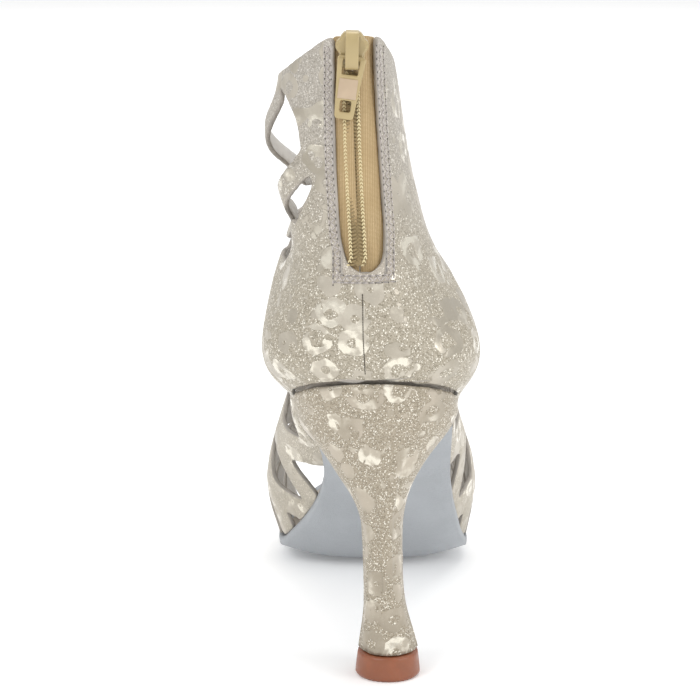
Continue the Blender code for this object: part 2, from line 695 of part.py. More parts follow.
def prism(name, polygon, low, high, collection, material=None):
    """A plate: the polygon in local x and y, from low to high in local z."""
    rings = [[(x, y, height) for x, y in polygon] for height in (low, high)]
    return loft(name, rings, collection, material)


def build_upper(collection):
    points, triangles = upper_mesh()
    material = new_material("fabric", 0.5)
    upper = new_object("upper", points, triangles, collection, material)
    widest = max(upper.data.polygons, key=lambda face: face.center.z - 0.3 * abs(face.center.x))
    middle = Vector((-0.1 * BALL_WIDTH, widest.center.y * 0.5 + 0.048 * LENGTH, widest.center.z))
    if (widest.center - middle).dot(widest.normal) < 0:
        upper.data.flip_normals()
    wall = upper.modifiers.new("wall", "SOLIDIFY")
    wall.thickness = WALL
    wall.offset = -1
    return upper


def plate_rings(first, low, high, inset):
    """Cross sections of a plate that follows the sole, from the outline's row first to the toe."""
    count = len(OUTLINE) - 1
    stations = np.concatenate([[first], np.arange(first + 0.25, count - 0.5, 0.42),
                               [count - 0.35, count - 0.12]])
    middle = SEAT_REAR + LENGTH / 2
    shares = np.linspace(-1, 1, 7)
    rings = []
    for at in stations:
        medial, y = outline(-1, at)
        lateral, _ = outline(1, at)
        y = middle + (y - middle) * (1 - 2 * inset / LENGTH)
        medial = medial + inset
        lateral = lateral - inset
        if lateral - medial < inset:
            continue
        x = (medial + lateral) / 2 + shares * (lateral - medial) / 2
        bottom = above_sole(y, low) + edge_lift(at, shares)
        top = above_sole(y, high) + edge_lift(at, shares)
        under = [(x[k], y, bottom[k]) for k in range(len(shares))]
        over = [(x[k], y, top[k]) for k in range(len(shares))]
        rings.append(under + over[::-1])
    return rings


def build_outsole(collection):
    """The sole from the heel's breast to the toe."""
    rings = plate_rings(BREAST_ROW, 0, SOLE_THICKNESS, 0)
    return loft("outsole", rings, collection, new_material("suede", 0.9))


def build_insole(collection):
    low = SOLE_THICKNESS + CLEARANCE
    inset = FEATHER_INSET + 2 * WALL
    rings = plate_rings(0.12, low, low + INSOLE_THICKNESS, inset)
    return loft("insole", rings, collection, new_material("lining", 0.6))


BREAST_ROW = 4.85
BREAST_HOLLOW = 0.0050
HEEL_INSET = 0.0004
SEAT_GAP = 0.0009


def seat_ring(hollow):
    """Outline of the heel's top in plan: the sole's edge round the rear, then the breast."""
    ring = []
    for at in np.linspace(BREAST_ROW, 0.25, 9):
        x, y = outline(-1, at)
        ring.append((x + HEEL_INSET, y - CLEARANCE))
    ring.append((outline(-1, 0.0)[0], SEAT_REAR + HEEL_INSET))
    for at in np.linspace(0.25, BREAST_ROW, 9):
        x, y = outline(1, at)
        ring.append((x - HEEL_INSET, y - CLEARANCE))
    start = ring[-1]
    end = ring[0]
    for k in range(1, 7):
        share = k / 7
        x = start[0] + (end[0] - start[0]) * share
        ring.append((x, start[1] - hollow * math.sin(math.pi * share)))
    return np.array(ring)


def build_heel(collection):
    """The covered heel: its top carries the upper's seat, its breast meets the sole's end."""
    ring = seat_ring(0.0)
    hollow = seat_ring(BREAST_HOLLOW)
    low = hollow.min(axis=0)
    high = hollow.max(axis=0)
    unit = (hollow - (low + high) / 2) / ((high - low) / 2)
    angles = np.arctan2(unit[:, 1], unit[:, 0])
    oval = np.stack([np.cos(angles), np.sin(angles)], axis=1)
    seat_length = SEAT_FRONT - SEAT_REAR
    slope = float(sole_slope(0.0))
    rings = [[(x, y, float(above_sole(y, SOLE_THICKNESS - SEAT_GAP))) for x, y in ring],
             [(x, y, float(above_sole(y, -CLEARANCE))) for x, y in ring]]
    levels = np.linspace(0, len(HEEL) - 1, 2 * len(HEEL) - 1)
    value = {name: smooth(column(HEEL, name), levels) for name in HEEL[0]}
    for k in range(len(levels)):
        shape = oval + (unit - oval) * value["seat"][k]
        left = value["medial"][k] * SEAT_WIDTH
        right = value["lateral"][k] * SEAT_WIDTH
        rear = value["rear"][k] * seat_length
        front = value["front"][k] * seat_length
        x = (left + right) / 2 + shape[:, 0] * (right - left) / 2
        y = (rear + front) / 2 + shape[:, 1] * (front - rear) / 2
        tilt = slope * value["seat"][k]
        z = value["height"][k] * HEEL_HEIGHT + tilt * (y - (rear + front) / 2)
        rings.append(list(zip(x, y, z)))
    return loft("heel", rings, collection, new_material("heel_cover", 0.5))


def build_tip(collection):
    """The hard top piece under the heel, a little wider at the floor."""
    top = HEEL[-1]["height"] * HEEL_HEIGHT - CLEARANCE
    levels = [
        {"height": top, "width": 0.92},
        {"height": top * 0.55, "width": 0.97},
        {"height": top * 0.12, "width": 1.00},
        {"height": 0.0, "width": 0.93},
    ]
    rings = []
    for level in levels:
        half = TIP_WIDTH / 2 * level["width"]
        rings.append([(half * math.cos(a), half * math.sin(a), level["height"])
                      for a in np.linspace(0, 2 * math.pi, 36, endpoint=False)])
    return loft("top_piece", rings, collection, new_material("tip", 0.45))


# Zip

def back_strip(row, across, depth):
    """A point across metres beside the zip's joint, depth metres inside the last."""
    across = across + ZIP_OFFSET
    side = -1 if across < 0 else 1
    girth = side * (1 - abs(across) / half_girth(side, row))
    normal = last_normal(row, girth)[0]
    return last(row, girth)[0] - normal * depth


def strip_rings(rows, profile):
    """Rings of a strip along the back line from its profile of (across, depth)."""
    return [[back_strip(row, across, depth) for across, depth in profile] for row in rows]


def build_tapes(collection):
    outer = WALL + TAPE_GAP
    rows = np.linspace(TAPE_FOOT, TAPE_HEAD, 20)
    material = new_material("tape", 0.8)
    tapes = []
    for name, side in (("zip_tape_medial", -1), ("zip_tape_lateral", 1)):
        widths = np.linspace(CLEARANCE / 2, TAPE_WIDTH / 2, 5) * side
        profile = [(w, outer) for w in widths] + [(w, outer + TAPE_THICKNESS) for w in widths[::-1]]
        tapes.append(loft(name, strip_rings(rows, profile), collection, material))
    return tapes


def build_chain(collection, head_row):
    """The closed coil as a low rail along the joint of the tapes."""
    foot = WALL
    half = CHAIN_WIDTH / 2
    profile = []
    for share in (-1.0, -0.6, 0.0, 0.6, 1.0):
        profile.append((share * half, foot - CHAIN_HEIGHT * math.sqrt(1 - 0.75 * share * share)))
    profile += [(half, foot), (half / 3, foot), (-half / 3, foot), (-half, foot)]
    rows = np.linspace(CHAIN_FOOT, head_row, 24)
    return loft("zip_chain", strip_rings(rows, profile), collection, new_material("chain", 0.6))


def slider_frame():
    """Frame of the slider: x across to the outer side, y up the back line, z outward."""
    step = 0.2
    place = Vector(back_strip(SLIDER_ROW, 0.0, 0.0))
    above = Vector(back_strip(SLIDER_ROW + step, 0.0, 0.0))
    below = Vector(back_strip(SLIDER_ROW - step, 0.0, 0.0))
    upward = (above - below).normalized()
    across = upward.cross(Vector((0, -1, 0))).normalized()
    outward = across.cross(upward)
    frame = Matrix((across, upward, outward)).transposed().to_4x4()
    frame.translation = place
    return frame


def cutter(piece):
    piece.hide_render = True
    piece.display_type = "WIRE"
    return piece


def combine(piece, other, operation):
    step = piece.modifiers.new(operation.lower(), "BOOLEAN")
    step.operation = operation
    step.object = cutter(other)


def rounded(width, length, corner, pieces=4):
    """Corners of a rounded rectangle round the origin."""
    points = []
    for quarter, (sx, sy) in enumerate(((1, 1), (-1, 1), (-1, -1), (1, -1))):
        centre = (sx * (width / 2 - corner), sy * (length / 2 - corner))
        for k in range(pieces + 1):
            angle = math.pi / 2 * (quarter + k / pieces)
            points.append((centre[0] + corner * math.cos(angle), centre[1] + corner * math.sin(angle)))
    return points


def bridge_profile(rise, thickness, pieces=10):
    """Side view of the bridge in (y, z): an arch on the slider's face."""
    outer = []
    inner = []
    for k in range(pieces + 1):
        angle = math.pi * k / pieces
        bulge = math.sin(angle) ** 0.45 if 0 < k < pieces else 0.0
        outer.append((BRIDGE_LENGTH / 2 * math.cos(angle), (rise + thickness) * bulge))
        inner.append(((BRIDGE_LENGTH / 2 - thickness) * math.cos(angle), rise * bulge))
    foot = -thickness
    outer = [(outer[0][0], foot)] + outer + [(outer[-1][0], foot)]
    inner = [(inner[0][0], foot)] + inner + [(inner[-1][0], foot)]
    return outer + inner[::-1]


SLIDER_BASE = CLEARANCE - WALL
SLIDER_FACE = SLIDER_BASE + SLIDER_HEIGHT
BAR_THICKNESS = 0.0012
SLOT_LENGTH = 0.0042
PLAY = 0.00035


def build_slider(collection, cutters, material):
    frame = slider_frame()
    body = prism("zip_slider", rounded(SLIDER_WIDTH, SLIDER_LENGTH, SLIDER_WIDTH * 0.3),
                 SLIDER_BASE, SLIDER_FACE, collection, material)
    profile = bridge_profile(BRIDGE_OPENING, BRIDGE_THICKNESS)
    arch = prism("bridge", profile, -BRIDGE_WIDTH / 2, BRIDGE_WIDTH / 2, cutters)
    turn = Matrix(((0, 0, 1, 0), (1, 0, 0, 0), (0, 1, 0, SLIDER_FACE), (0, 0, 0, 1)))
    arch.matrix_world = frame @ turn
    body.matrix_world = frame
    combine(body, arch, "UNION")
    return body


def tab_frame():
    """Frame of the pull tab at its bar under the bridge: the tab leans on the chain."""
    low = -(BRIDGE_LENGTH / 2 - BRIDGE_THICKNESS - BAR_THICKNESS / 2 - 3 * PLAY)
    height = SLIDER_FACE + PLAY + BAR_THICKNESS / 2
    frame = slider_frame()
    flat = frame.inverted()
    leans = []
    for row in np.linspace(SLIDER_ROW - 0.5, SLIDER_ROW - 1.1, 7):
        crest = flat @ Vector(back_strip(row, 0.0, WALL - CHAIN_HEIGHT))
        rise = crest.z + CLEARANCE + TAB_THICKNESS / 2 - height
        leans.append(math.atan2(rise, low - crest.y))
    place = Matrix.Translation(Vector((0, low, height)))
    turn = Matrix.Rotation(math.radians(-TAB_TILT), 4, "Z") @ Matrix.Rotation(-max(leans), 4, "X")
    return frame @ place @ turn


def build_tab(collection, cutters, material):
    """The blank pull tab: a bar under the bridge, two arms and a plate with a square hole."""
    top = BAR_THICKNESS / 2
    middle = top - TAB_LENGTH / 2
    slot_end = top - BAR_THICKNESS - SLOT_LENGTH
    plate = TAB_LENGTH - BAR_THICKNESS - SLOT_LENGTH
    polygon = [(x * (1.0 - TAB_TAPER * (top - (middle + y)) / TAB_LENGTH), middle + y)
               for x, y in rounded(TAB_WIDTH, TAB_LENGTH, TAB_CORNER)]
    tab = prism("pull_tab", polygon, -TAB_THICKNESS / 2, TAB_THICKNESS / 2, collection, material)
    holes = [
        {"name": "slot", "width": BRIDGE_WIDTH + 2 * PLAY, "length": SLOT_LENGTH,
         "middle": slot_end + SLOT_LENGTH / 2, "floor": -1.0},
        {"name": "panel", "width": TAB_WIDTH * 0.52, "length": plate * 0.44,
         "middle": slot_end - plate * 0.31, "floor": 0.28},
        {"name": "square_hole", "width": TAB_WIDTH * 0.38, "length": plate * 0.26,
         "middle": slot_end - plate * 0.71, "floor": -1.0},
    ]
    frame = tab_frame()
    tab.matrix_world = frame
    for hole in holes:
        size = rounded(hole["width"], hole["length"], TAB_CORNER / 3, 2)
        polygon = [(x, y + hole["middle"]) for x, y in size]
        block = prism(hole["name"], polygon, TAB_THICKNESS * hole["floor"], TAB_THICKNESS, cutters)
        block.matrix_world = frame
        combine(tab, block, "DIFFERENCE")
    return tab


def chain_head():
    """Row at which the chain meets the slider's lower end."""
    drop = SLIDER_LENGTH / 2 + CLEARANCE
    rise_per_row = (back_strip(SLIDER_ROW, 0.0, 0.0) - back_strip(SLIDER_ROW - 1, 0.0, 0.0))[2]
    return SLIDER_ROW - drop / rise_per_row


def main():
    for piece in list(bpy.data.objects):
        bpy.data.objects.remove(piece)
    collection = bpy.data.collections.new("ballroom_dance_shoe")
    cutters = bpy.data.collections.new("cutters")
    bpy.context.scene.collection.children.link(collection)
    bpy.context.scene.collection.children.link(cutters)
    build_outsole(collection)
    build_insole(collection)
    build_heel(collection)
    build_tip(collection)
    build_upper(collection)
    build_tapes(collection)
    build_chain(collection, chain_head())
    metal = new_material("metal", 0.35, 0.3)
    build_slider(collection, cutters, metal)
    build_tab(collection, cutters, metal)


main()
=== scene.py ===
"""Looks of the ballroom dance shoe: glitter cloth with a spotted print, crossed straps,
the back zip with its coil, stitches and pull, the covered heel, and the suede sole."""

import math

import bmesh
import bpy
import numpy as np
from mathutils import Matrix, Vector
from mathutils.bvhtree import BVHTree


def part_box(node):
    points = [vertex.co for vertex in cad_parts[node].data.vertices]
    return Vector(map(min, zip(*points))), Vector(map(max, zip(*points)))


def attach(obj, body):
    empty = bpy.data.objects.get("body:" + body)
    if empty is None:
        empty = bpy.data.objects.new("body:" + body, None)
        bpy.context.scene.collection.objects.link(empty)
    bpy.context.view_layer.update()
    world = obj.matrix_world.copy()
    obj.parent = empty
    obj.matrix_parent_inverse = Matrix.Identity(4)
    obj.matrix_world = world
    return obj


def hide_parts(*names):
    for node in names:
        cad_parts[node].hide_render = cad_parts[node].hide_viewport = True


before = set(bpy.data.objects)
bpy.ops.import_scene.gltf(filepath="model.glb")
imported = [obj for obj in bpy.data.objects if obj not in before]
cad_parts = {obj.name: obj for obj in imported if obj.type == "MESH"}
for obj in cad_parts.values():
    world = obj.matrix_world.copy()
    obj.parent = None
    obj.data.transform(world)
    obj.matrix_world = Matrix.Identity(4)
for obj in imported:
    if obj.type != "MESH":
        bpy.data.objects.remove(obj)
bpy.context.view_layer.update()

# Lengths are in metres and angles in degrees.

# Points nearer than MERGE are one, and lines of sight start at BEHIND, behind the shoe
MERGE = 0.00002
BEHIND = -0.2
TINY = 1e-12

# The upper: the angle that parts cloth, lining and edge, the hold of the edges against the
# rounding, and the shaft's middle, toward which creases are pressed
PART_ANGLE = 52
EDGE_HOLD = 0.45
SHAFT_MIDDLE = (-0.008, 0.02)

# Rounded pieces: an edge flatter than the first angle goes, one sharper than the other holds
FLAT_ANGLE = 2
SHARP_ANGLE = 35

# The inner tape is cut off along the collar: its corner, how far down, and the slope
TAPE_CORNER_X = -0.0185
TAPE_DROP = 0.0030
COLLAR_SLOPE = 0.80

# Where the heel's plain front begins: how far a face turns forward, its foot, and how
# proud of the cloth it lies
BREAST_TURN = 0.12
BREAST_FOOT = 0.0085
BREAST_PROUD = 0.00038

# The zip's window: levels of the chain and lines of sight across it, points on each side of
# a path round the window, how far under the collar the path starts and over the foot its
# sides end, and how the edge and the foot are searched for
CHAIN_LEVELS = 24
CHAIN_SIGHTS = 60
SIDE_LEVELS = 16
PATH_TOP = 0.0035
PATH_FOOT = 0.006
EDGE_STEP = 0.0001
EDGE_LIMIT = 0.02
FOOT_START = 0.004
FOOT_ASIDE = 0.001
FOOT_STEP = 0.0002

# The turned edge round the window: its radius and facets, how deep it lies, and its gaps
# to the window at the sides and at the foot
ROLL_RADIUS = 0.00050
ROLL_FACETS = 2
ROLL_DEPTH = 0.0002
ROLL_GAPS = (0.0006, 0.0004)

# Marks of the distance to the window: how far, which part of the upper, and how far the
# path lies inside the cloth
MARK_LIMIT = 0.05
MARK_FRONT = 0.01
MARK_FOOT = 0.11
MARK_INSIDE = 0.0004

# The seat line, painted shadow over the seat: its ends, its number of places, the heights searched
# and its lift
SEAT_ENDS = (-0.0240, 0.0140)
SEAT_PLACES = 54
SEAT_HEIGHTS = (0.080, 0.105)
SEAT_STEP = 0.0003
SEAT_LIFT = 0.0004

# Stitches: a grain's facets, its lift, the rows beside the window and each kind of row
GRAIN_FACETS = (7, 5)
GRAIN_LIFT = 0.0001
ROW_GAPS = (0.0010, 0.0030)
ZIGZAG_GAP = 0.0020
FOOT_STITCH = {"pitch": 0.0021, "size": (0.0017, 0.00052, 0.00044)}
EDGE_STITCH = {"pitch": 0.0019, "size": (0.0013, 0.00050, 0.00040)}
# The needle holes are dark grains of painted shade beside the stitches
NEEDLE_HOLE_SHADE = {"pitch": 0.0019, "size": (0.0005, 0.00042, 0.00028), "shift": 0.00095}
ZIGZAG = {"pitch": 0.0011, "size": (0.0019, 0.00042, 0.00038), "turns": (52.0, -52.0)}
# The back seam and the seat line are rows of dark grains, painted shadow in the seam
BACK_SEAM_SHADOW = {"pitch": 0.0007, "size": (0.0009, 0.00034, 0.00025)}
SEAT_SHADOW_LINE = {"pitch": 0.0005, "size": (0.0009, 0.00042, 0.0003)}

# The coil: its turns, and the chain stitches that lie over each row of them
COIL_PITCH = 0.00105
COIL_ENDS = (0.0003, 0.0002)
COIL_TURN = {"aside": 0.00088, "lift": 0.00002, "lean": 24, "size": (0.0020, 0.00078, 0.0008)}
CHAIN_STITCH = {"aside": 0.00205, "apart": 0.00022, "lift": 0.00012, "lean": 26,
                "size": (0.00130, 0.00048, 0.00062)}

# The slider: its crown's thickness, rim and raised middle, and the bridge
CROWN_FACE = 0.0026
CROWN_RIM = 0.0005
CROWN_LIFT = 0.0002
CROWN_INNER = (0.86, 0.90)
BRIDGE_STEPS = 16
BRIDGE_SHORTER = 0.0002
BRIDGE_HOLLOW = (0.76, 0.66)
BRIDGE_FOOT = 0.001
BRIDGE_HALF = 0.0019

# The pull: shares of its length from the top, half sizes, and how proud each part stands
PULL_SUNK = 0.0004
PULL_LINE = {"share": 0.325, "half_width": 0.0024, "half_height": 0.00016, "proud": 0.00022}
PULL_CHEEK = {"aside": 0.0031, "half_width": 0.0007, "shares": (0.30, 0.04), "proud": 0.0002}
PULL_PANEL = {"share": 0.517, "half_width": 0.0027, "half_height": 0.0029, "proud": 0.00014}
PANEL_BEVEL = 0.00012

# Castings: the grain of the skin, its smoothing and the rounds of it
CROWN_GRAIN = 0.00015
PULL_GRAIN = 0.00014
CAST_SMOOTHING = 0.5
CAST_ROUNDS = 7

# Camera of the photograph; its sensor is in millimetres
CAMERA_PLACE = (-0.0116, -0.613, 0.222)
CAMERA_PITCH = 11.16
FOCAL_PIXELS = 2093.0
FRAME_PIXELS = 700.0
SENSOR = 36.0
CAMERA_NEAR = 0.01

# Colours, linear
GLITTER = (0.420, 0.375, 0.296)
GLITTER_SHADE = (0.248, 0.218, 0.162)
GLITTER_SPARK = (0.900, 0.860, 0.760)
COOL = (0.560, 0.530, 0.500)
COOL_SHADE = (0.300, 0.280, 0.255)
SATIN = (0.504, 0.459, 0.383)
SATIN_DEEP = (0.378, 0.341, 0.275)
# Painted highlight colour on the glossy foil print
FOIL_HIGHLIGHT = (0.740, 0.695, 0.590)
BORDER = (0.425, 0.375, 0.315)
EDGE_CLOTH = (0.430, 0.395, 0.350)
LINING = (0.720, 0.690, 0.640)
SUEDE = (0.385, 0.406, 0.428)
TAPE = (0.740, 0.570, 0.345)
TAPE_SHADE = (0.400, 0.275, 0.125)
COIL = (0.310, 0.224, 0.099)
THREAD = (0.800, 0.680, 0.400)
STITCH = (0.330, 0.300, 0.280)
STITCH_LIGHT = (0.560, 0.510, 0.480)
# Painted shade in the needle holes
STITCH_HOLE_SHADE = (0.090, 0.080, 0.075)
METAL = (0.450, 0.350, 0.170)
PANEL = (0.510, 0.390, 0.268)
RUBBER = (0.249, 0.077, 0.031)
INSOLE = (0.560, 0.495, 0.420)
# Painted shadow colour in closed seams
SEAM_SHADE = (0.060, 0.052, 0.040)

# The print, as soft steps from the first value to the second. Rings and dots go by the
# distance from a cell's middle; the others say how many are broken, left out or given painted
# highlights.
RING_OUTER = (0.455, 0.475)
RING_INNER = (0.205, 0.225)
RING_BROKEN = (0.36, 0.38)
RING_WOBBLE = 0.16
RING_SPREAD = 0.62
DOT_EDGE = (0.22, 0.25)
DOT_FEW = (0.47, 0.49)
# Which rosettes, and which streaks of them, carry a painted highlight on the foil
FOIL_HIGHLIGHT_CHANCE = (0.70, 0.78)
HIGHLIGHT_STREAK = (0.42, 0.62)
FOIL_GLINT = (0.50, 0.60)
FLAKE_SHADE = (0.05, 0.60)
FLAKE_SPARK = (0.88, 0.95)
BORDER_SPARK = (0.84, 0.94)
COOL_FLAKE = (0.2, 0.9)
SATIN_CLOUD = (0.35, 0.65)

# The size of the print and of the flakes on each cloth, and the heel's warmer tone
UPPER_PRINT = {"pitch": 0.0112, "flake": 0.00030}
HEEL_PRINT = {"pitch": 0.0106, "flake": 0.00027, "tone": (0.93, 0.90, 0.87)}

# Zones of the upper's cloth: the window's border, the cooler shaft, the satiny forefoot
BORDER_WIDTH = (0.0030, 0.0037)
COOL_HEIGHT = (0.110, 0.185)
BAND_REACH = (0.060, 0.100)

# The stage: half the floor's side, its glow, and the sky's light
FLOOR_HALF = 9.5
FLOOR_GLOW = 0.13
SKY_LIGHT = 0.78
LIGHTS = [
    {"name": "key", "place": (-0.9, -0.9, 1.2), "size": 0.6, "power": 7.5},
    {"name": "fill", "place": (1.1, -0.6, 0.7), "size": 0.6, "power": 4.8},
    {"name": "top", "place": (0.1, 0.5, 1.6), "size": 1.2, "power": 11.0},
    {"name": "far", "place": (0.0, 3.2, 1.8), "size": 2.5, "power": 40.0},
]
LIGHT_AIM = (-0.01, 0.05, 0.09)
FAR_AIM = (0.0, 4.5, 0.0)


# Materials

def shaded(colour, share):
    """The colour made darker or lighter."""
    return tuple(share * part for part in colour)


def toned(colour, tone):
    """The colour times a tone, part by part."""
    return tuple(part * share for part, share in zip(colour, tone))


class Look:
    """A material on object coordinates, with short ways to add its nodes."""

    def __init__(self, name, roughness=0.5, metallic=0.0, **constants):
        self.material = bpy.data.materials.new(name)
        self.material.use_nodes = True
        self.tree = self.material.node_tree
        self.shader = self.tree.nodes["Principled BSDF"]
        self.shader.inputs["Roughness"].default_value = roughness
        self.shader.inputs["Metallic"].default_value = metallic
        for socket, value in constants.items():
            self.shader.inputs[socket.replace("_", " ")].default_value = value
        self.place = self.tree.nodes.new("ShaderNodeTexCoord").outputs["Object"]

    def node(self, kind, inputs, **settings):
        made = self.tree.nodes.new(kind)
        for name, value in settings.items():
            setattr(made, name, value)
        for socket, value in inputs.items():
            self.put(made.inputs[socket], value)
        return made

    def put(self, socket, value):
        if isinstance(value, bpy.types.NodeSocket):
            self.tree.links.new(value, socket)
        elif isinstance(value, tuple) and socket.type == "RGBA":
            socket.default_value = (*value, 1.0)
        else:
            socket.default_value = value

    def shade(self, socket, value):
        self.put(self.shader.inputs[socket], value)

    def maths(self, operation, first, second=0.0):
        made = self.node("ShaderNodeMath", {0: first, 1: second}, operation=operation)
        return made.outputs[0]

    def vector(self, operation, first, second):
        made = self.node("ShaderNodeVectorMath", {0: first, 1: second}, operation=operation)
        return made.outputs[0]

    def scaled(self, vector, factor):
        sockets = {0: vector, "Scale": factor}
        return self.node("ShaderNodeVectorMath", sockets, operation="SCALE").outputs[0]

    def step(self, value, low, high, bottom=0.0, top=1.0):
        """A soft step from bottom to top as value goes from low to high."""
        sockets = {"Value": value, "From Min": low, "From Max": high,
                   "To Min": bottom, "To Max": top}
        made = self.node("ShaderNodeMapRange", sockets, interpolation_type="SMOOTHSTEP")
        return made.outputs["Result"]

    def blend(self, factor, first, second):
        made = self.node("ShaderNodeMix", {"Factor": factor}, data_type="RGBA")
        self.put(made.inputs[6], first)
        self.put(made.inputs[7], second)
        return made.outputs[2]

    def noise(self, scale, detail=3.0, place=None, output=0):
        sockets = {"Vector": place or self.place, "Scale": scale, "Detail": detail}
        return self.node("ShaderNodeTexNoise", sockets).outputs[output]

    def cells(self, scale, output="Distance", place=None, spread=1.0):
        sockets = {"Vector": place or self.place, "Scale": scale, "Randomness": spread}
        return self.node("ShaderNodeTexVoronoi", sockets).outputs[output]

    def waves(self, scale, direction, bend=0.0):
        sockets = {"Vector": self.place, "Scale": scale, "Distortion": bend, "Detail": 1.0}
        return self.node("ShaderNodeTexWave", sockets, bands_direction=direction).outputs["Fac"]

    def warped(self, scale, amount):
        """The place, pushed about by soft noise."""
        push = self.vector("SUBTRACT", self.noise(scale, 2.0, output=1), (0.5, 0.5, 0.5))
        return self.vector("ADD", self.place, self.scaled(push, amount))

    def bump(self, height, depth, normal=None):
        sockets = {"Height": height, "Strength": 1.0, "Distance": depth}
        made = self.node("ShaderNodeBump", sockets)
        if normal is not None:
            self.put(made.inputs["Normal"], normal)
        return made.outputs[0]


def rosettes(look, pitch):
    """Broken rings and dots of the print, each with its own chance of a painted highlight on its
    foil.
    """
    place = look.warped(1.2 / pitch, pitch * 0.50)
    sockets = {"Vector": place, "Scale": (1.0, 1.0, 1.2)}
    stretched = look.node("ShaderNodeMapping", sockets).outputs[0]
    distance = look.cells(1 / pitch, place=stretched, spread=RING_SPREAD)
    colour = look.cells(1 / pitch, "Color", stretched, RING_SPREAD)
    chance = look.node("ShaderNodeSeparateColor", {0: colour})
    wobble = look.maths("MULTIPLY", look.noise(2.6 / pitch, 2.0), RING_WOBBLE)
    distance = look.maths("ADD", distance, look.maths("SUBTRACT", wobble, RING_WOBBLE / 2))
    outer = look.step(distance, *RING_OUTER, 1.0, 0.0)
    inner = look.step(distance, *RING_INNER)
    broken = look.step(look.noise(1.9 / pitch, 1.0), *RING_BROKEN)
    ring = look.maths("MULTIPLY", look.maths("MULTIPLY", outer, inner), broken)
    dots = look.step(look.cells(2.6 / pitch, place=place), *DOT_EDGE, 1.0, 0.0)
    few = look.step(look.noise(1.3 / pitch, 1.0), *DOT_FEW)
    spots = look.maths("MAXIMUM", ring, look.maths("MULTIPLY", dots, few))
    return spots, chance.outputs[1]


def zones(look):
    """The window's border, the cooler shaft and the satiny forefoot, each from 0 to 1."""
    marks = look.node("ShaderNodeAttribute", {}, attribute_name="from_window")
    border = look.step(marks.outputs["Fac"], *BORDER_WIDTH, 1.0, 0.0)
    axes = look.node("ShaderNodeSeparateXYZ", {0: look.place}).outputs
    cool = look.step(axes[2], *COOL_HEIGHT, 0.0, 0.55)
    band = look.step(axes[1], *BAND_REACH, 0.0, 0.65)
    return border, cool, band


def spotted_cloth(name, pitch, flake, bordered=False, tone=(1.0, 1.0, 1.0)):
    """Glitter cloth printed with satin rosettes whose foil parts get a painted highlight colour;
    the upper's has its own zones.
    """
    look = Look(name)
    satin, chance = rosettes(look, pitch)
    flakes = look.cells(1 / flake, "Color")
    random = look.node("ShaderNodeSeparateColor", {0: flakes}).outputs
    ground = look.blend(look.step(random[0], *FLAKE_SHADE),
                        toned(GLITTER_SHADE, tone), toned(GLITTER, tone))
    ground = look.blend(look.step(random[1], *FLAKE_SPARK), ground, GLITTER_SPARK)
    smooth = look.blend(look.step(look.noise(0.9 / pitch, 3.0), *SATIN_CLOUD),
                        toned(SATIN_DEEP, tone), toned(SATIN, tone))
    tilted = 1.0
    if bordered:
        border, cool, band = zones(look)
        satin = look.maths("MULTIPLY", satin, look.maths("SUBTRACT", 1.0, border))
        plain = look.blend(look.step(random[2], *BORDER_SPARK), BORDER, GLITTER_SPARK)
        ground = look.blend(look.maths("MULTIPLY", border, 0.7), ground, plain)
        silver = look.blend(look.step(random[2], *COOL_FLAKE), COOL_SHADE, COOL)
        ground = look.blend(cool, ground, silver)
        ground = look.blend(band, ground, smooth)
        tilted = look.maths("SUBTRACT", 1.0, band)
    # Painted highlight: the foil of chosen rosettes gets a bright cream colour in streaks and
    # glints, laid over real metallic gloss and low roughness
    highlight_streak = look.step(look.noise(3.4 / pitch, 2.0), *HIGHLIGHT_STREAK)
    bright = look.maths("MULTIPLY", look.step(chance, *FOIL_HIGHLIGHT_CHANCE),
                        look.maths("ADD", highlight_streak, 0.15))
    glint = look.step(look.noise(0.8 / pitch, 2.0), *FOIL_GLINT)
    glint = look.maths("MULTIPLY", look.maths("MULTIPLY", glint, highlight_streak), 0.6)
    glint = look.maths("MINIMUM", look.maths("MAXIMUM", bright, glint), 1.0)
    foil_highlight = look.maths("MULTIPLY", satin, glint)
    colour = look.blend(look.maths("MULTIPLY", satin, 0.94), ground, smooth)
    look.shade("Base Color", look.blend(foil_highlight, colour, FOIL_HIGHLIGHT))
    rough = look.step(satin, 0.0, 1.0, 0.48, 0.36)
    look.shade("Roughness", look.step(foil_highlight, 0.0, 1.0, rough, 0.22))
    metal = look.step(satin, 0.0, 1.0, 0.15, 0.40)
    look.shade("Metallic", look.step(foil_highlight, 0.0, 1.0, metal, 0.66))
    tilt = look.vector("SUBTRACT", flakes, (0.5, 0.5, 0.5))
    bare = look.maths("MULTIPLY", look.step(satin, 0.0, 1.0, 0.36, 0.03), tilted)
    facing = look.node("ShaderNodeNewGeometry", {}).outputs["Normal"]
    sockets = {0: look.vector("ADD", facing, look.scaled(tilt, bare))}
    normal = look.node("ShaderNodeVectorMath", sockets, operation="NORMALIZE").outputs[0]
    crepe = look.maths("ADD", look.noise(300.0, 3.0), look.maths("MULTIPLY", satin, 0.35))
    ripple = look.maths("MULTIPLY", look.noise(120.0, 2.0), 2.2)
    look.shade("Normal", look.bump(look.maths("ADD", crepe, ripple), 0.00030, normal))
    return look.material


def plain_cloth(name, colour, shade, pitch, roughness, **constants):
    """Fine woven cloth or lining with soft stains."""
    look = Look(name, roughness, **constants)
    cloud = look.step(look.noise(90.0, 4.0), 0.3, 0.7)
    look.shade("Base Color", look.blend(cloud, shade, colour))
    scale = 1 / (pitch * 2 * math.pi) * 3.3
    weave = look.maths("MULTIPLY", look.waves(scale, "X", 0.6), look.waves(scale, "Z", 0.6))
    look.shade("Normal", look.bump(weave, 0.00006))
    return look.material


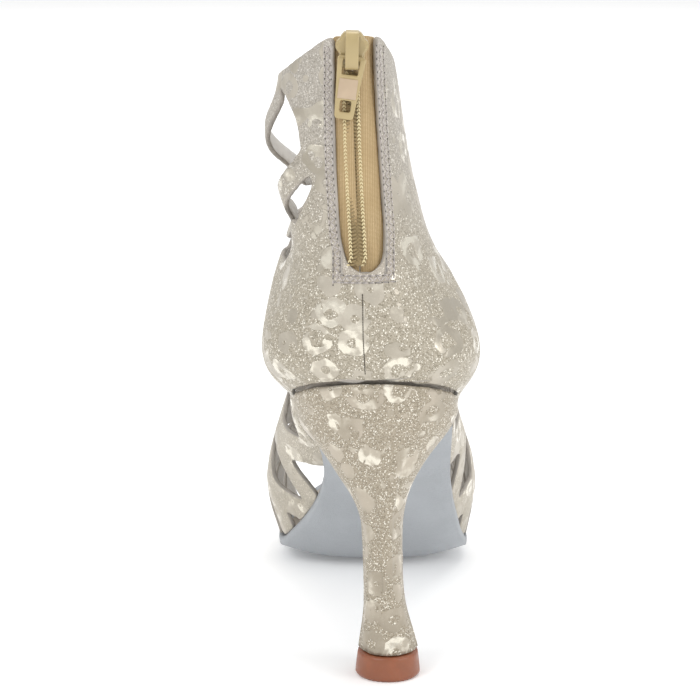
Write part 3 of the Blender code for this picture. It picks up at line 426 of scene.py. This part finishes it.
def tape_cloth():
    """The zip's woven tape: fine ribs along it and little floats across."""
    look = Look("zip_tape_weave", 0.72)
    ribs = look.waves(620.0, "X", 0.4)
    floats = look.waves(900.0, "Z", 1.5)
    weave = look.maths("MULTIPLY", ribs, floats)
    tone = look.blend(look.step(weave, 0.05, 0.6), TAPE_SHADE, TAPE)
    stain = look.step(look.noise(120.0, 3.0), 0.25, 0.75, 0.0, 0.35)
    look.shade("Base Color", look.blend(stain, tone, TAPE_SHADE))
    look.shade("Normal", look.bump(weave, 0.00015))
    return look.material


def suede():
    """Brushed sole leather: cloudy, with a short nap."""
    look = Look("brushed_suede", 0.92, Sheen_Weight=0.25, Sheen_Roughness=0.5)
    cloud = look.step(look.noise(38.0, 5.0), 0.3, 0.72)
    tone = look.blend(cloud, shaded(SUEDE, 0.84), SUEDE)
    nap = look.noise(2600.0, 2.0)
    fleck = look.step(nap, 0.3, 0.7, 0.0, 0.25)
    look.shade("Base Color", look.blend(fleck, tone, shaded(SUEDE, 1.18)))
    look.shade("Normal", look.bump(look.maths("ADD", nap, look.noise(500.0, 3.0)), 0.00018))
    return look.material


def enamel(name, colour, roughness=0.34):
    """Thin paint on cast metal, a little worn."""
    look = Look(name, roughness, 0.15, Coat_Weight=0.35, Coat_Roughness=0.2)
    worn = look.step(look.noise(260.0, 3.0), 0.35, 0.75)
    look.shade("Base Color", look.blend(worn, shaded(colour, 0.93), colour))
    shine = look.step(look.noise(400.0, 3.0), 0.3, 0.7, roughness - 0.06, roughness + 0.12)
    look.shade("Roughness", shine)
    look.shade("Normal", look.bump(look.noise(900.0, 2.0), 0.00002))
    return look.material


def thread(name, colour):
    """Twisted thread."""
    look = Look(name, 0.55, Sheen_Weight=0.2)
    twist = look.noise(3800.0, 2.0)
    strands = look.step(twist, 0.3, 0.7)
    look.shade("Base Color", look.blend(strands, shaded(colour, 0.7), colour))
    look.shade("Normal", look.bump(twist, 0.00008))
    return look.material


def moulded_rubber():
    """Amber rubber of the heel's tip, a little dusty."""
    look = Look("heel_tip_rubber", 0.38, Subsurface_Weight=0.12, Subsurface_Scale=0.002,
                Coat_Weight=0.25, Coat_Roughness=0.25)
    dust = look.step(look.noise(260.0, 5.0), 0.4, 0.8, 0.0, 0.35)
    look.shade("Base Color", look.blend(dust, RUBBER, shaded(RUBBER, 1.5)))
    look.shade("Roughness", look.step(look.noise(500.0, 4.0), 0.3, 0.7, 0.3, 0.5))
    look.shade("Normal", look.bump(look.noise(1500.0, 2.0), 0.00003))
    return look.material


def insole_leather():
    """Thin leather with fine pores."""
    look = Look("insole_leather", 0.5, Sheen_Weight=0.1)
    pores = look.cells(1400.0)
    cloud = look.step(look.noise(45.0, 4.0), 0.3, 0.7)
    look.shade("Base Color", look.blend(cloud, shaded(INSOLE, 0.88), INSOLE))
    look.shade("Normal", look.bump(pores, 0.00005))
    return look.material


def dark_seam():
    """The shade in a closed seam."""
    look = Look("seam_shadow", 0.85)
    look.shade("Base Color", look.blend(look.noise(900.0, 2.0), SEAM_SHADE, shaded(SEAM_SHADE, 2.0)))
    return look.material


# Meshes

def put_object(name, mesh, body, material=None):
    """A piece from a mesh, riding on its body."""
    piece = bpy.data.objects.new(name, mesh)
    bpy.context.scene.collection.objects.link(piece)
    if material:
        mesh.materials.append(material)
    mesh.shade_smooth()
    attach(piece, body)
    return piece


def from_shape(name, shape, body, material=None):
    """A piece from a shape that is used up by it."""
    mesh = bpy.data.meshes.new(name)
    shape.to_mesh(mesh)
    shape.free()
    return put_object(name, mesh, body, material)


def node_shape(node):
    """A merged copy of a CAD node's mesh."""
    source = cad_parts[node]
    shape = bmesh.new()
    shape.from_mesh(source.data)
    shape.transform(source.matrix_world)
    bmesh.ops.remove_doubles(shape, verts=shape.verts, dist=MERGE)
    shape.normal_update()
    return shape


def shells(shape, angle):
    """Groups of faces that meet at less than the angle, largest area first."""
    shape.faces.ensure_lookup_table()
    unseen = set(shape.faces)
    groups = []
    while unseen:
        first = unseen.pop()
        group = [first]
        for face in group:
            for edge in face.edges:
                for other in edge.link_faces:
                    if other in unseen and face.normal.angle(other.normal, 0.0) < angle:
                        unseen.discard(other)
                        group.append(other)
        groups.append(group)
    return sorted(groups, key=lambda group: -sum(face.calc_area() for face in group))


def subdivide(piece, levels):
    """Catmull-Clark levels, live."""
    step = piece.modifiers.new("smooth", "SUBSURF")
    step.levels = levels
    step.render_levels = levels
    return piece


def applied(piece):
    """Replace the piece's mesh by its finished one."""
    graph = bpy.context.evaluated_depsgraph_get()
    mesh = bpy.data.meshes.new_from_object(piece.evaluated_get(graph))
    piece.modifiers.clear()
    piece.data = mesh


def tree_of(piece):
    """The piece's finished surface, for lines of sight."""
    return BVHTree.FromObject(piece, bpy.context.evaluated_depsgraph_get())


def hit_from_behind(tree, x, z):
    """Where a line along +Y first meets the surface, and its normal there."""
    place, normal = tree.ray_cast(Vector((x, BEHIND, z)), Vector((0, 1, 0)))[:2]
    if normal is not None and normal.y > 0:
        normal = -normal
    return place, normal


def distance_to_line(point, line, limit):
    """How far the point lies from a line of places, at most the limit."""
    nearest = limit
    for start, end in zip(line[:-1], line[1:]):
        way = end - start
        share = min(max((point - start).dot(way) / max(way.length_squared, TINY), 0.0), 1.0)
        nearest = min(nearest, (point - start - way * share).length)
    return nearest


# The upper

CREASES = [
    {"points": [(-0.0080, 0.1210), (-0.0078, 0.1080), (-0.0072, 0.0975)],
     "width": 0.0012, "depth": 0.00045},
    {"points": [(-0.0190, 0.1330), (-0.0255, 0.1290), (-0.0320, 0.1270)],
     "width": 0.0022, "depth": 0.00050},
    {"points": [(0.0010, 0.1330), (0.0085, 0.1300), (0.0160, 0.1275)],
     "width": 0.0022, "depth": 0.00050},
    {"points": [(-0.0200, 0.1440), (-0.0245, 0.1480), (-0.0290, 0.1500)],
     "width": 0.0020, "depth": 0.00040},
    {"points": [(0.0020, 0.1500), (0.0060, 0.1470), (0.0095, 0.1420)],
     "width": 0.0020, "depth": 0.00040},
    {"points": [(-0.0270, 0.1020), (-0.0330, 0.1060), (-0.0370, 0.1120)],
     "width": 0.0030, "depth": 0.00045},
    {"points": [(0.0100, 0.1030), (0.0170, 0.1060), (0.0220, 0.1110)],
     "width": 0.0030, "depth": 0.00045},
]


def crease(shape, tree, fold):
    """Press a soft trough into the upper along the fold's line of (x, z), seen from behind."""
    line = []
    for x, z in fold["points"]:
        place = hit_from_behind(tree, x, z)[0]
        if place:
            line.append(place)
    reach = 3 * fold["width"]
    for corner in shape.verts:
        nearest = distance_to_line(corner.co, line, reach)
        if nearest < reach:
            inward = Vector((*SHAFT_MIDDLE, corner.co.z)) - corner.co
            inward.normalize()
            corner.co += inward * fold["depth"] * math.exp(-(nearest / fold["width"]) ** 2)


def make_upper(cloth, lining, edge):
    """The upper, rounded over its edges: cloth outside, lining inside, cut edges between."""
    shape = node_shape("upper")
    sides = shells(shape, math.radians(PART_ANGLE))[:2]
    sides.sort(key=lambda side: min(face.calc_center_median().y for face in side))
    for face in shape.faces:
        face.material_index = 2
    for index, side in enumerate(sides):
        for face in side:
            face.material_index = index
    sharp = shape.edges.layers.float.new("crease_edge")
    for line in shape.edges:
        kinds = {face.material_index for face in line.link_faces}
        line[sharp] = EDGE_HOLD if 2 in kinds and len(kinds) == 2 else 0.0
    upper = from_shape("upper_cloth", shape, "shoe")
    for material in (cloth, lining, edge):
        upper.data.materials.append(material)
    applied(subdivide(upper, 1))
    tree = tree_of(upper)
    soft = bmesh.new()
    soft.from_mesh(upper.data)
    for fold in CREASES:
        crease(soft, tree, fold)
    soft.to_mesh(upper.data)
    soft.free()
    upper.data.shade_smooth()
    subdivide(upper, 1)
    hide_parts("upper")
    return upper


def soften(node, name, body, materials, levels, sharp, cut=None):
    """A rounded copy of a CAD node, its sharper edges kept by creases, cut off by a plane."""
    shape = node_shape(node)
    if cut:
        point, way = cut
        bmesh.ops.bisect_plane(shape, geom=shape.verts[:] + shape.edges[:] + shape.faces[:],
                               plane_co=point, plane_no=way, clear_outer=True, dist=MERGE / 2)
        rims = [line for line in shape.edges if len(line.link_faces) == 1]
        bmesh.ops.holes_fill(shape, edges=rims)
        shape.normal_update()
    flat = [line for line in shape.edges
            if len(line.link_faces) == 2
            and line.calc_face_angle(0.0) < math.radians(FLAT_ANGLE)]
    bmesh.ops.dissolve_edges(shape, edges=flat, use_verts=True)
    layer = shape.edges.layers.float.new("crease_edge")
    for line in shape.edges:
        if line.calc_face_angle(0.0) > math.radians(SHARP_ANGLE):
            line[layer] = sharp
    piece = from_shape(name, shape, body)
    for material in materials:
        piece.data.materials.append(material)
    subdivide(piece, levels)
    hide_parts(node)
    return piece


def local_frame(shape):
    """Frame of a small flat piece: x across it, y up it, z outward, at its middle."""
    points = np.array([tuple(corner.co) for corner in shape.verts])
    middle = points.mean(axis=0)
    ways = np.linalg.eigh(np.cov((points - middle).T))[1]
    across, upward = [ways[:, np.argmax(np.abs(ways[k]))] for k in (0, 2)]
    across = Vector(across) * (1 if across[0] > 0 else -1)
    upward = Vector(upward) * (1 if upward[2] > 0 else -1)
    outward = across.cross(upward)
    matrix = Matrix((across, upward, outward)).transposed().to_4x4()
    matrix.translation = Vector(middle)
    return matrix


def local_box(shape, matrix):
    """The shape's lowest and highest corner in the local frame."""
    flat = np.array([tuple(matrix.inverted() @ corner.co) for corner in shape.verts])
    return flat.min(axis=0), flat.max(axis=0)


def add_block(shape, matrix, low, high):
    """A box between two corners of the local frame."""
    low = Vector(low)
    high = Vector(high)
    size = Matrix.Diagonal((*(high - low), 1.0))
    place = matrix @ Matrix.Translation((low + high) / 2) @ size
    bmesh.ops.create_cube(shape, size=1.0, matrix=place)


def add_plate(shape, matrix, outline, low, high):
    """A plate with the outline of (x, y) in the local frame, from low to high."""
    corners = [shape.verts.new(matrix @ Vector((x, y, low))) for x, y in outline]
    base = shape.faces.new(corners)
    base.normal_flip()
    grown = bmesh.ops.extrude_face_region(shape, geom=[base])
    moved = [item for item in grown["geom"] if isinstance(item, bmesh.types.BMVert)]
    bmesh.ops.translate(shape, verts=moved, vec=matrix.to_3x3() @ Vector((0, 0, high - low)))


def cast(name, shape, body, material, grain):
    """One casting from overlapping solids, with softly rounded edges."""
    piece = from_shape(name, shape, body, material)
    skin = piece.modifiers.new("skin", "REMESH")
    skin.mode = "VOXEL"
    skin.voxel_size = grain
    skin.use_smooth_shade = True
    soften_step = piece.modifiers.new("soften", "SMOOTH")
    soften_step.factor = CAST_SMOOTHING
    soften_step.iterations = CAST_ROUNDS
    applied(piece)
    piece.data.shade_smooth()
    return piece


# One half of the crown's outline, as shares of the slider's width and length
CROWN = [
    {"across": 0.000, "up": -0.50}, {"across": 0.300, "up": -0.47},
    {"across": 0.380, "up": -0.38}, {"across": 0.360, "up": -0.20},
    {"across": 0.400, "up": -0.08}, {"across": 0.490, "up": 0.02},
    {"across": 0.500, "up": 0.12}, {"across": 0.460, "up": 0.20},
    {"across": 0.370, "up": 0.26}, {"across": 0.330, "up": 0.34},
    {"across": 0.250, "up": 0.42}, {"across": 0.000, "up": 0.44},
]


def make_slider(material):
    """The slider: a crown-shaped body and the thick bridge that the pull hangs from."""
    source = node_shape("zip_slider")
    matrix = local_frame(source)
    low, high = local_box(source, matrix)
    width = high[0] - low[0]
    length = high[1] - low[1]
    middle = (low[1] + high[1]) / 2
    face = low[2] + CROWN_FACE
    half = [(row["across"] * width, row["up"] * length + middle) for row in CROWN]
    outline = half[::-1] + [(-x, y) for x, y in half[1:-1]]
    shape = bmesh.new()
    add_plate(shape, matrix, outline, low[2], face - CROWN_RIM)
    inner = [(x * CROWN_INNER[0], y * CROWN_INNER[1]) for x, y in outline]
    add_plate(shape, matrix, inner, low[2] + CROWN_LIFT, face)
    reach = length / 2 - BRIDGE_SHORTER
    arch = []
    for k in range(BRIDGE_STEPS + 1):
        angle = math.pi * k / BRIDGE_STEPS
        bulge = math.sin(angle) ** 0.5 if 0 < k < BRIDGE_STEPS else 0.0
        arch.append((reach * math.cos(angle), face + (high[2] - face) * bulge))
    hollow = [(y * BRIDGE_HOLLOW[0], face + (z - face) * BRIDGE_HOLLOW[1]) for y, z in arch]
    turn = matrix @ Matrix(((0, 0, 1, 0), (1, 0, 0, middle), (0, 1, 0, 0), (0, 0, 0, 1)))
    foot = face - BRIDGE_FOOT
    outer = [(arch[0][0], foot)] + arch + [(arch[-1][0], foot)]
    inside = [(hollow[0][0], foot)] + hollow + [(hollow[-1][0], foot)]
    add_plate(shape, turn, outer + inside[::-1], -BRIDGE_HALF, BRIDGE_HALF)
    source.free()
    bmesh.ops.recalc_face_normals(shape, faces=shape.faces)
    piece = cast("slider_crown", shape, "shoe", material, CROWN_GRAIN)
    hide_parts("zip_slider")


def make_pull(material, matt):
    """The blank pull: its plate from the solid, a raised line, and a matt panel over the recess."""
    shape = node_shape("pull_tab")
    matrix = local_frame(shape)
    low, high = local_box(shape, matrix)
    length = high[1] - low[1]
    top = high[1]
    face = high[2]

    def raise_part(target, part, aside, foot, head):
        """A block on the face, sunk into it, from foot to head."""
        add_block(target, matrix, (aside - part["half_width"], foot, face - PULL_SUNK),
                  (aside + part["half_width"], head, face + part["proud"]))

    def raise_middle(target, part):
        middle = top - part["share"] * length
        raise_part(target, part, 0.0, middle - part["half_height"], middle + part["half_height"])

    raise_middle(shape, PULL_LINE)
    foot, head = [top - share * length for share in PULL_CHEEK["shares"]]
    for side in (-1, 1):
        raise_part(shape, PULL_CHEEK, side * PULL_CHEEK["aside"], foot, head)
    piece = cast("pull_plate", shape, "pull_tab", material, PULL_GRAIN)
    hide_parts("pull_tab")
    plate = bmesh.new()
    raise_middle(plate, PULL_PANEL)
    bmesh.ops.bevel(plate, geom=plate.edges[:], offset=PANEL_BEVEL, segments=2, profile=0.5,
                    affect="EDGES", material=-1)
    panel = from_shape("pull_panel", plate, "pull_tab", matt)


# Stitches

def along(tree, path, pitch):
    """Places every pitch along a path of (x, z) seen from behind: place, way and normal."""
    flat = [Vector(p) for p in path]
    lengths = np.cumsum([0.0] + [(b - a).length for a, b in zip(flat[:-1], flat[1:])])
    places = []
    for at in np.arange(pitch / 2, lengths[-1], pitch):
        k = min(int(np.searchsorted(lengths, at, side="right")) - 1, len(flat) - 2)
        way = (flat[k + 1] - flat[k]).normalized()
        spot = flat[k] + way * (at - lengths[k])
        place, normal = hit_from_behind(tree, spot.x, spot.y)
        if place is None:
            continue
        forward = Vector((way.x, 0, way.y))
        forward = (forward - normal * forward.dot(normal)).normalized()
        places.append((place, forward, normal))
    return places


def turned(place, forward, normal, lift, turn):
    """A frame on the surface: x along the path, z outward."""
    side = normal.cross(forward).normalized()
    matrix = Matrix((forward, side, normal)).transposed().to_4x4()
    matrix.translation = place + normal * lift
    return matrix @ Matrix.Rotation(turn, 4, "Z")


def add_grain(shape, matrix, size):
    """A small rounded grain, such as a stitch."""
    around, upward = GRAIN_FACETS
    bmesh.ops.create_uvsphere(shape, u_segments=around, v_segments=upward, radius=0.5,
                              matrix=matrix @ Matrix.Diagonal((*size, 1.0)))


def stitch_row(name, tree, path, material, pitch, size, turns=(0.0,), shift=0.0):
    """A row of stitches, each turned in its own place by the next of the turns."""
    shape = bmesh.new()
    for k, (place, forward, normal) in enumerate(along(tree, path, pitch)):
        turn = math.radians(turns[k % len(turns)])
        spot = turned(place + forward * shift, forward, normal, GRAIN_LIFT, turn)
        add_grain(shape, spot, size)
    piece = from_shape(name, shape, "shoe", material)


# The zip

class Window:
    """The zip's window as seen from behind."""

    def __init__(self, upper_tree, chain_tree):
        self.upper = upper_tree
        self.chain = chain_tree
        low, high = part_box("zip_chain")
        self.low = low[2]
        self.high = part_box("upper")[1][2]
        self.heights = np.linspace(low[2], high[2], CHAIN_LEVELS)
        self.middles = [self.chain_middle(z) for z in self.heights]
        self.foot = self.find_foot()

    def chain_middle(self, z):
        """The chain's middle at the height z, by lines of sight."""
        low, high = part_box("zip_chain")
        met = [x for x in np.linspace(low[0], high[0], CHAIN_SIGHTS)
               if hit_from_behind(self.chain, x, z)[0]]
        return (min(met) + max(met)) / 2 if met else (low[0] + high[0]) / 2

    def middle(self, z):
        """The chain's middle at the height z, between the levels."""
        return float(np.interp(z, self.heights, self.middles))

    def covered(self, x, z):
        """Whether the back panel lies there."""
        place = hit_from_behind(self.upper, x, z)[0]
        return place is not None and place.y < 0.0

    def find_foot(self):
        """The height of the window's lower end."""
        z = self.low + FOOT_START
        while not self.covered(self.middle(z) + FOOT_ASIDE, z):
            z -= FOOT_STEP
        return z

    def edge(self, side, z):
        """The window's edge at the height z; side -1 is medial."""
        x = self.middle(z)
        while not self.covered(x, z) and abs(x - self.middle(z)) < EDGE_LIMIT:
            x += side * EDGE_STEP
        return x

    def around(self, gap, low_gap=None):
        """A path of (x, z) beside the window and square below its foot."""
        low_gap = gap if low_gap is None else low_gap
        levels = np.linspace(self.high - PATH_TOP, self.foot + PATH_FOOT, SIDE_LEVELS)
        left = [(self.edge(-1, z) - gap, z) for z in levels]
        right = [(self.edge(1, z) + gap, z) for z in levels]
        base = self.foot - low_gap
        corner = [(left[-1][0], base), (right[-1][0], base)]
        return left + corner + right[::-1]


def make_chain(window, coil, cord):
    """The closed coil: slanted turns in two rows, and a line of chain stitches over each."""
    low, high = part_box("zip_chain")
    turns = bmesh.new()
    stitches = bmesh.new()
    across = Vector((1.0, 0.0, 0.0))
    turn_lean = math.radians(COIL_TURN["lean"])
    stitch_lean = math.radians(CHAIN_STITCH["lean"])
    for z in np.arange(low[2] + COIL_ENDS[0], high[2] - COIL_ENDS[1], COIL_PITCH):
        place, normal = hit_from_behind(window.chain, window.middle(z), z)
        if place is None:
            continue
        normal = Vector((0.0, normal.y, normal.z)).normalized()
        upward = Vector((0.0, -normal.z, normal.y)) * (-1 if normal.y < 0 else 1)
        for side in (-1, 1):
            spot = place + across * side * COIL_TURN["aside"]
            matrix = turned(spot, across * side, normal, COIL_TURN["lift"], -side * turn_lean)
            add_grain(turns, matrix, COIL_TURN["size"])
            for lean in (-1, 1):
                aside = side * CHAIN_STITCH["aside"] + lean * CHAIN_STITCH["apart"]
                matrix = turned(place + across * aside, upward, normal, CHAIN_STITCH["lift"],
                                lean * stitch_lean)
                add_grain(stitches, matrix, CHAIN_STITCH["size"])
    rows = (("zip_coil_turns", turns, coil), ("zip_chain_stitches", stitches, cord))
    for name, shape, material in rows:
        piece = from_shape(name, shape, "shoe", material)


def mark_border(upper, window):
    """Store on the cloth how far each point lies from the window's edge."""
    path = window.around(0.0, 0.0)
    shifts = np.linspace(-MARK_INSIDE, MARK_INSIDE, len(path))
    line = [hit_from_behind(window.upper, x + shift, z)[0]
            for (x, z), shift in zip(path, shifts)]
    line = [place for place in line if place is not None and place.y < 0.0]
    marks = upper.data.attributes.new("from_window", "FLOAT", "POINT")
    for k, corner in enumerate(upper.data.vertices):
        near = corner.co.y < MARK_FRONT and corner.co.z > MARK_FOOT
        marks.data[k].value = distance_to_line(corner.co, line, MARK_LIMIT) if near else MARK_LIMIT


def make_binding(window, cloth):
    """The turned edge of the cloth round the window."""
    curve = bpy.data.curves.new("window_roll", "CURVE")
    curve.dimensions = "3D"
    curve.bevel_depth = ROLL_RADIUS
    curve.bevel_resolution = ROLL_FACETS
    curve.use_fill_caps = True
    places = []
    for x, z in window.around(*ROLL_GAPS):
        place, normal = hit_from_behind(window.upper, x, z)
        if place is not None and place.y < 0.0:
            places.append(place - normal * ROLL_DEPTH)
    line = curve.splines.new("POLY")
    line.points.add(len(places) - 1)
    for point, place in zip(line.points, places):
        point.co = (*place, 1.0)
    holder = bpy.data.objects.new("roll_line", curve)
    bpy.context.scene.collection.objects.link(holder)
    graph = bpy.context.evaluated_depsgraph_get()
    graph.update()
    mesh = bpy.data.meshes.new_from_object(holder.evaluated_get(graph))
    bpy.data.objects.remove(holder)
    mesh.materials.clear()
    piece = put_object("window_roll", mesh, "shoe", cloth)


# Heel, painted seat shadow and stage

def make_heel(cloth, breast):
    """The covered heel; the breast faces forward in plain leather."""
    heel = soften("heel", "heel_covering", "shoe", (cloth, breast), 2, sharp=0.5)
    applied(heel)
    proud = {}
    for face in heel.data.polygons:
        front = face.normal.y > BREAST_TURN and face.center.z > BREAST_FOOT
        face.material_index = 1 if front else 0
        if front:
            for corner in face.vertices:
                proud[corner] = proud.get(corner, Vector()) + face.normal
    for corner, way in proud.items():
        heel.data.vertices[corner].co += way.normalized() * BREAST_PROUD
    heel.data.shade_smooth()


def make_seat_line(tree, material):
    """A row of painted shadow where the upper is drawn in over the heel's seat."""
    path = []
    for x in np.linspace(*SEAT_ENDS, SEAT_PLACES):
        levels = [z for z in np.arange(*SEAT_HEIGHTS, SEAT_STEP)
                  if hit_from_behind(tree, x, z)[0]]
        if levels:
            path.append((x, min(levels) + SEAT_LIFT))
    stitch_row("seat_shadow_line", tree, path, material, **SEAT_SHADOW_LINE)


def make_floor():
    """A pale floor that is no part of the shoe."""
    shape = bmesh.new()
    bmesh.ops.create_grid(shape, x_segments=1, y_segments=1, size=FLOOR_HALF)
    mesh = bpy.data.meshes.new("floor")
    shape.to_mesh(mesh)
    shape.free()
    floor = bpy.data.objects.new("floor", mesh)
    bpy.context.scene.collection.objects.link(floor)
    look = Look("pale_floor", 0.85)
    look.shade("Base Color", look.blend(look.noise(3.0), (0.93, 0.93, 0.93), (0.95, 0.95, 0.95)))
    look.shade("Emission Color", (1.0, 1.0, 1.0))
    look.shade("Emission Strength", FLOOR_GLOW)
    mesh.materials.append(look.material)


def make_lights():
    """Four soft lamps; the far one lights the floor behind the shoe."""
    for light in LIGHTS:
        lamp = bpy.data.lights.new(light["name"], "AREA")
        lamp.size = light["size"]
        lamp.energy = light["power"]
        holder = bpy.data.objects.new(light["name"], lamp)
        holder.location = light["place"]
        target = Vector(FAR_AIM if light["name"] == "far" else LIGHT_AIM)
        holder.rotation_euler = (target - holder.location).to_track_quat("-Z", "Y").to_euler()
        bpy.context.scene.collection.objects.link(holder)


def make_sky():
    """A white sky that the camera sees at full strength and the shoe a little darker."""
    world = bpy.data.worlds.new("studio")
    world.use_nodes = True
    nodes = world.node_tree.nodes
    lit = nodes["Background"]
    seen = nodes.new("ShaderNodeBackground")
    for background in (lit, seen):
        background.inputs["Color"].default_value = (1.0, 1.0, 1.0, 1.0)
    lit.inputs["Strength"].default_value = SKY_LIGHT
    path = nodes.new("ShaderNodeLightPath")
    mix = nodes.new("ShaderNodeMixShader")
    joins = ((path.outputs["Is Camera Ray"], mix.inputs[0]), (lit.outputs[0], mix.inputs[1]),
             (seen.outputs[0], mix.inputs[2]), (mix.outputs[0], nodes["World Output"].inputs[0]))
    for source, target in joins:
        world.node_tree.links.new(source, target)
    bpy.context.scene.world = world


def make_camera():
    """The camera of the photograph."""
    camera = bpy.data.cameras.new("camera")
    camera.sensor_width = SENSOR
    camera.lens = FOCAL_PIXELS / FRAME_PIXELS * SENSOR
    camera.clip_start = CAMERA_NEAR
    eye = bpy.data.objects.new("camera", camera)
    eye.location = CAMERA_PLACE
    eye.rotation_euler = (math.radians(90 - CAMERA_PITCH), 0.0, 0.0)
    bpy.context.scene.collection.objects.link(eye)
    bpy.context.scene.camera = eye
    bpy.context.scene.view_settings.view_transform = "Standard"


def dress_solids(edge):
    """Every piece that stands for a solid of the CAD. Returns the upper."""
    lining = plain_cloth("strap_lining", LINING, shaded(LINING, 0.9), 0.0005, 0.5,
                         Sheen_Weight=0.15)
    cloth = spotted_cloth("glitter_spotted_cloth", bordered=True, **UPPER_PRINT)
    heel_cloth = spotted_cloth("heel_spotted_cloth", **HEEL_PRINT)
    sole_leather = suede()
    tape = tape_cloth()
    metal = enamel("pull_enamel", METAL)
    upper = make_upper(cloth, lining, edge)
    make_heel(heel_cloth, sole_leather)
    soften("outsole", "sole_suede", "shoe", (sole_leather,), 1, sharp=0.8)
    soften("insole", "insole_cover", "shoe", (insole_leather(),), 1, sharp=0.5)
    soften("top_piece", "heel_tip", "shoe", (moulded_rubber(),), 2, sharp=0.75)
    slope = ((TAPE_CORNER_X, 0.0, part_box("upper")[1][2] - TAPE_DROP), (-COLLAR_SLOPE, 0.0, 1.0))
    soften("zip_tape_medial", "tape_medial", "shoe", (tape,), 1, sharp=0.8, cut=slope)
    soften("zip_tape_lateral", "tape_lateral", "shoe", (tape,), 1, sharp=0.8)
    make_slider(metal)
    make_pull(metal, enamel("pull_panel_paint", PANEL, 0.55))
    return upper


def add_stitches(window):
    """Two rows and a zigzag round the window, and painted shadow along the back seam and over the
    seat.
    """
    tree = window.upper
    stitch = thread("seam_thread", STITCH)
    light_stitch = thread("zigzag_thread", STITCH_LIGHT)
    # Painted shade for the needle holes
    hole_shade = thread("needle_hole_shade", STITCH_HOLE_SHADE)
    seam_shadow = dark_seam()
    for k, gap in enumerate(ROW_GAPS):
        path = window.around(gap)
        foot = path[SIDE_LEVELS - 1:SIDE_LEVELS + 3]
        stitch_row("foot_stitches_%d" % k, tree, foot, stitch, **FOOT_STITCH)
        stitch_row("edge_stitches_%d" % k, tree, path, light_stitch, **EDGE_STITCH)
        stitch_row("needle_hole_shadows_%d" % k, tree, path, hole_shade, **NEEDLE_HOLE_SHADE)
    stitch_row("window_zigzag", tree, window.around(ZIGZAG_GAP), light_stitch, **ZIGZAG)
    stitch_row("back_seam_shadow", tree, CREASES[0]["points"], seam_shadow, **BACK_SEAM_SHADOW)
    make_seat_line(tree, seam_shadow)


def main():
    edge = plain_cloth("cut_edge_cloth", EDGE_CLOTH, shaded(EDGE_CLOTH, 0.75), 0.0004, 0.7)
    upper = dress_solids(edge)
    coil = thread("coil_nylon", COIL)
    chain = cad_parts["zip_chain"]
    chain.data.materials.clear()
    chain.data.materials.append(coil)
    window = Window(tree_of(upper), tree_of(chain))
    make_chain(window, coil, thread("chain_stitch_thread", THREAD))
    make_binding(window, edge)
    mark_border(upper, window)
    add_stitches(window)
    make_floor()
    make_lights()
    make_sky()
    make_camera()


main()
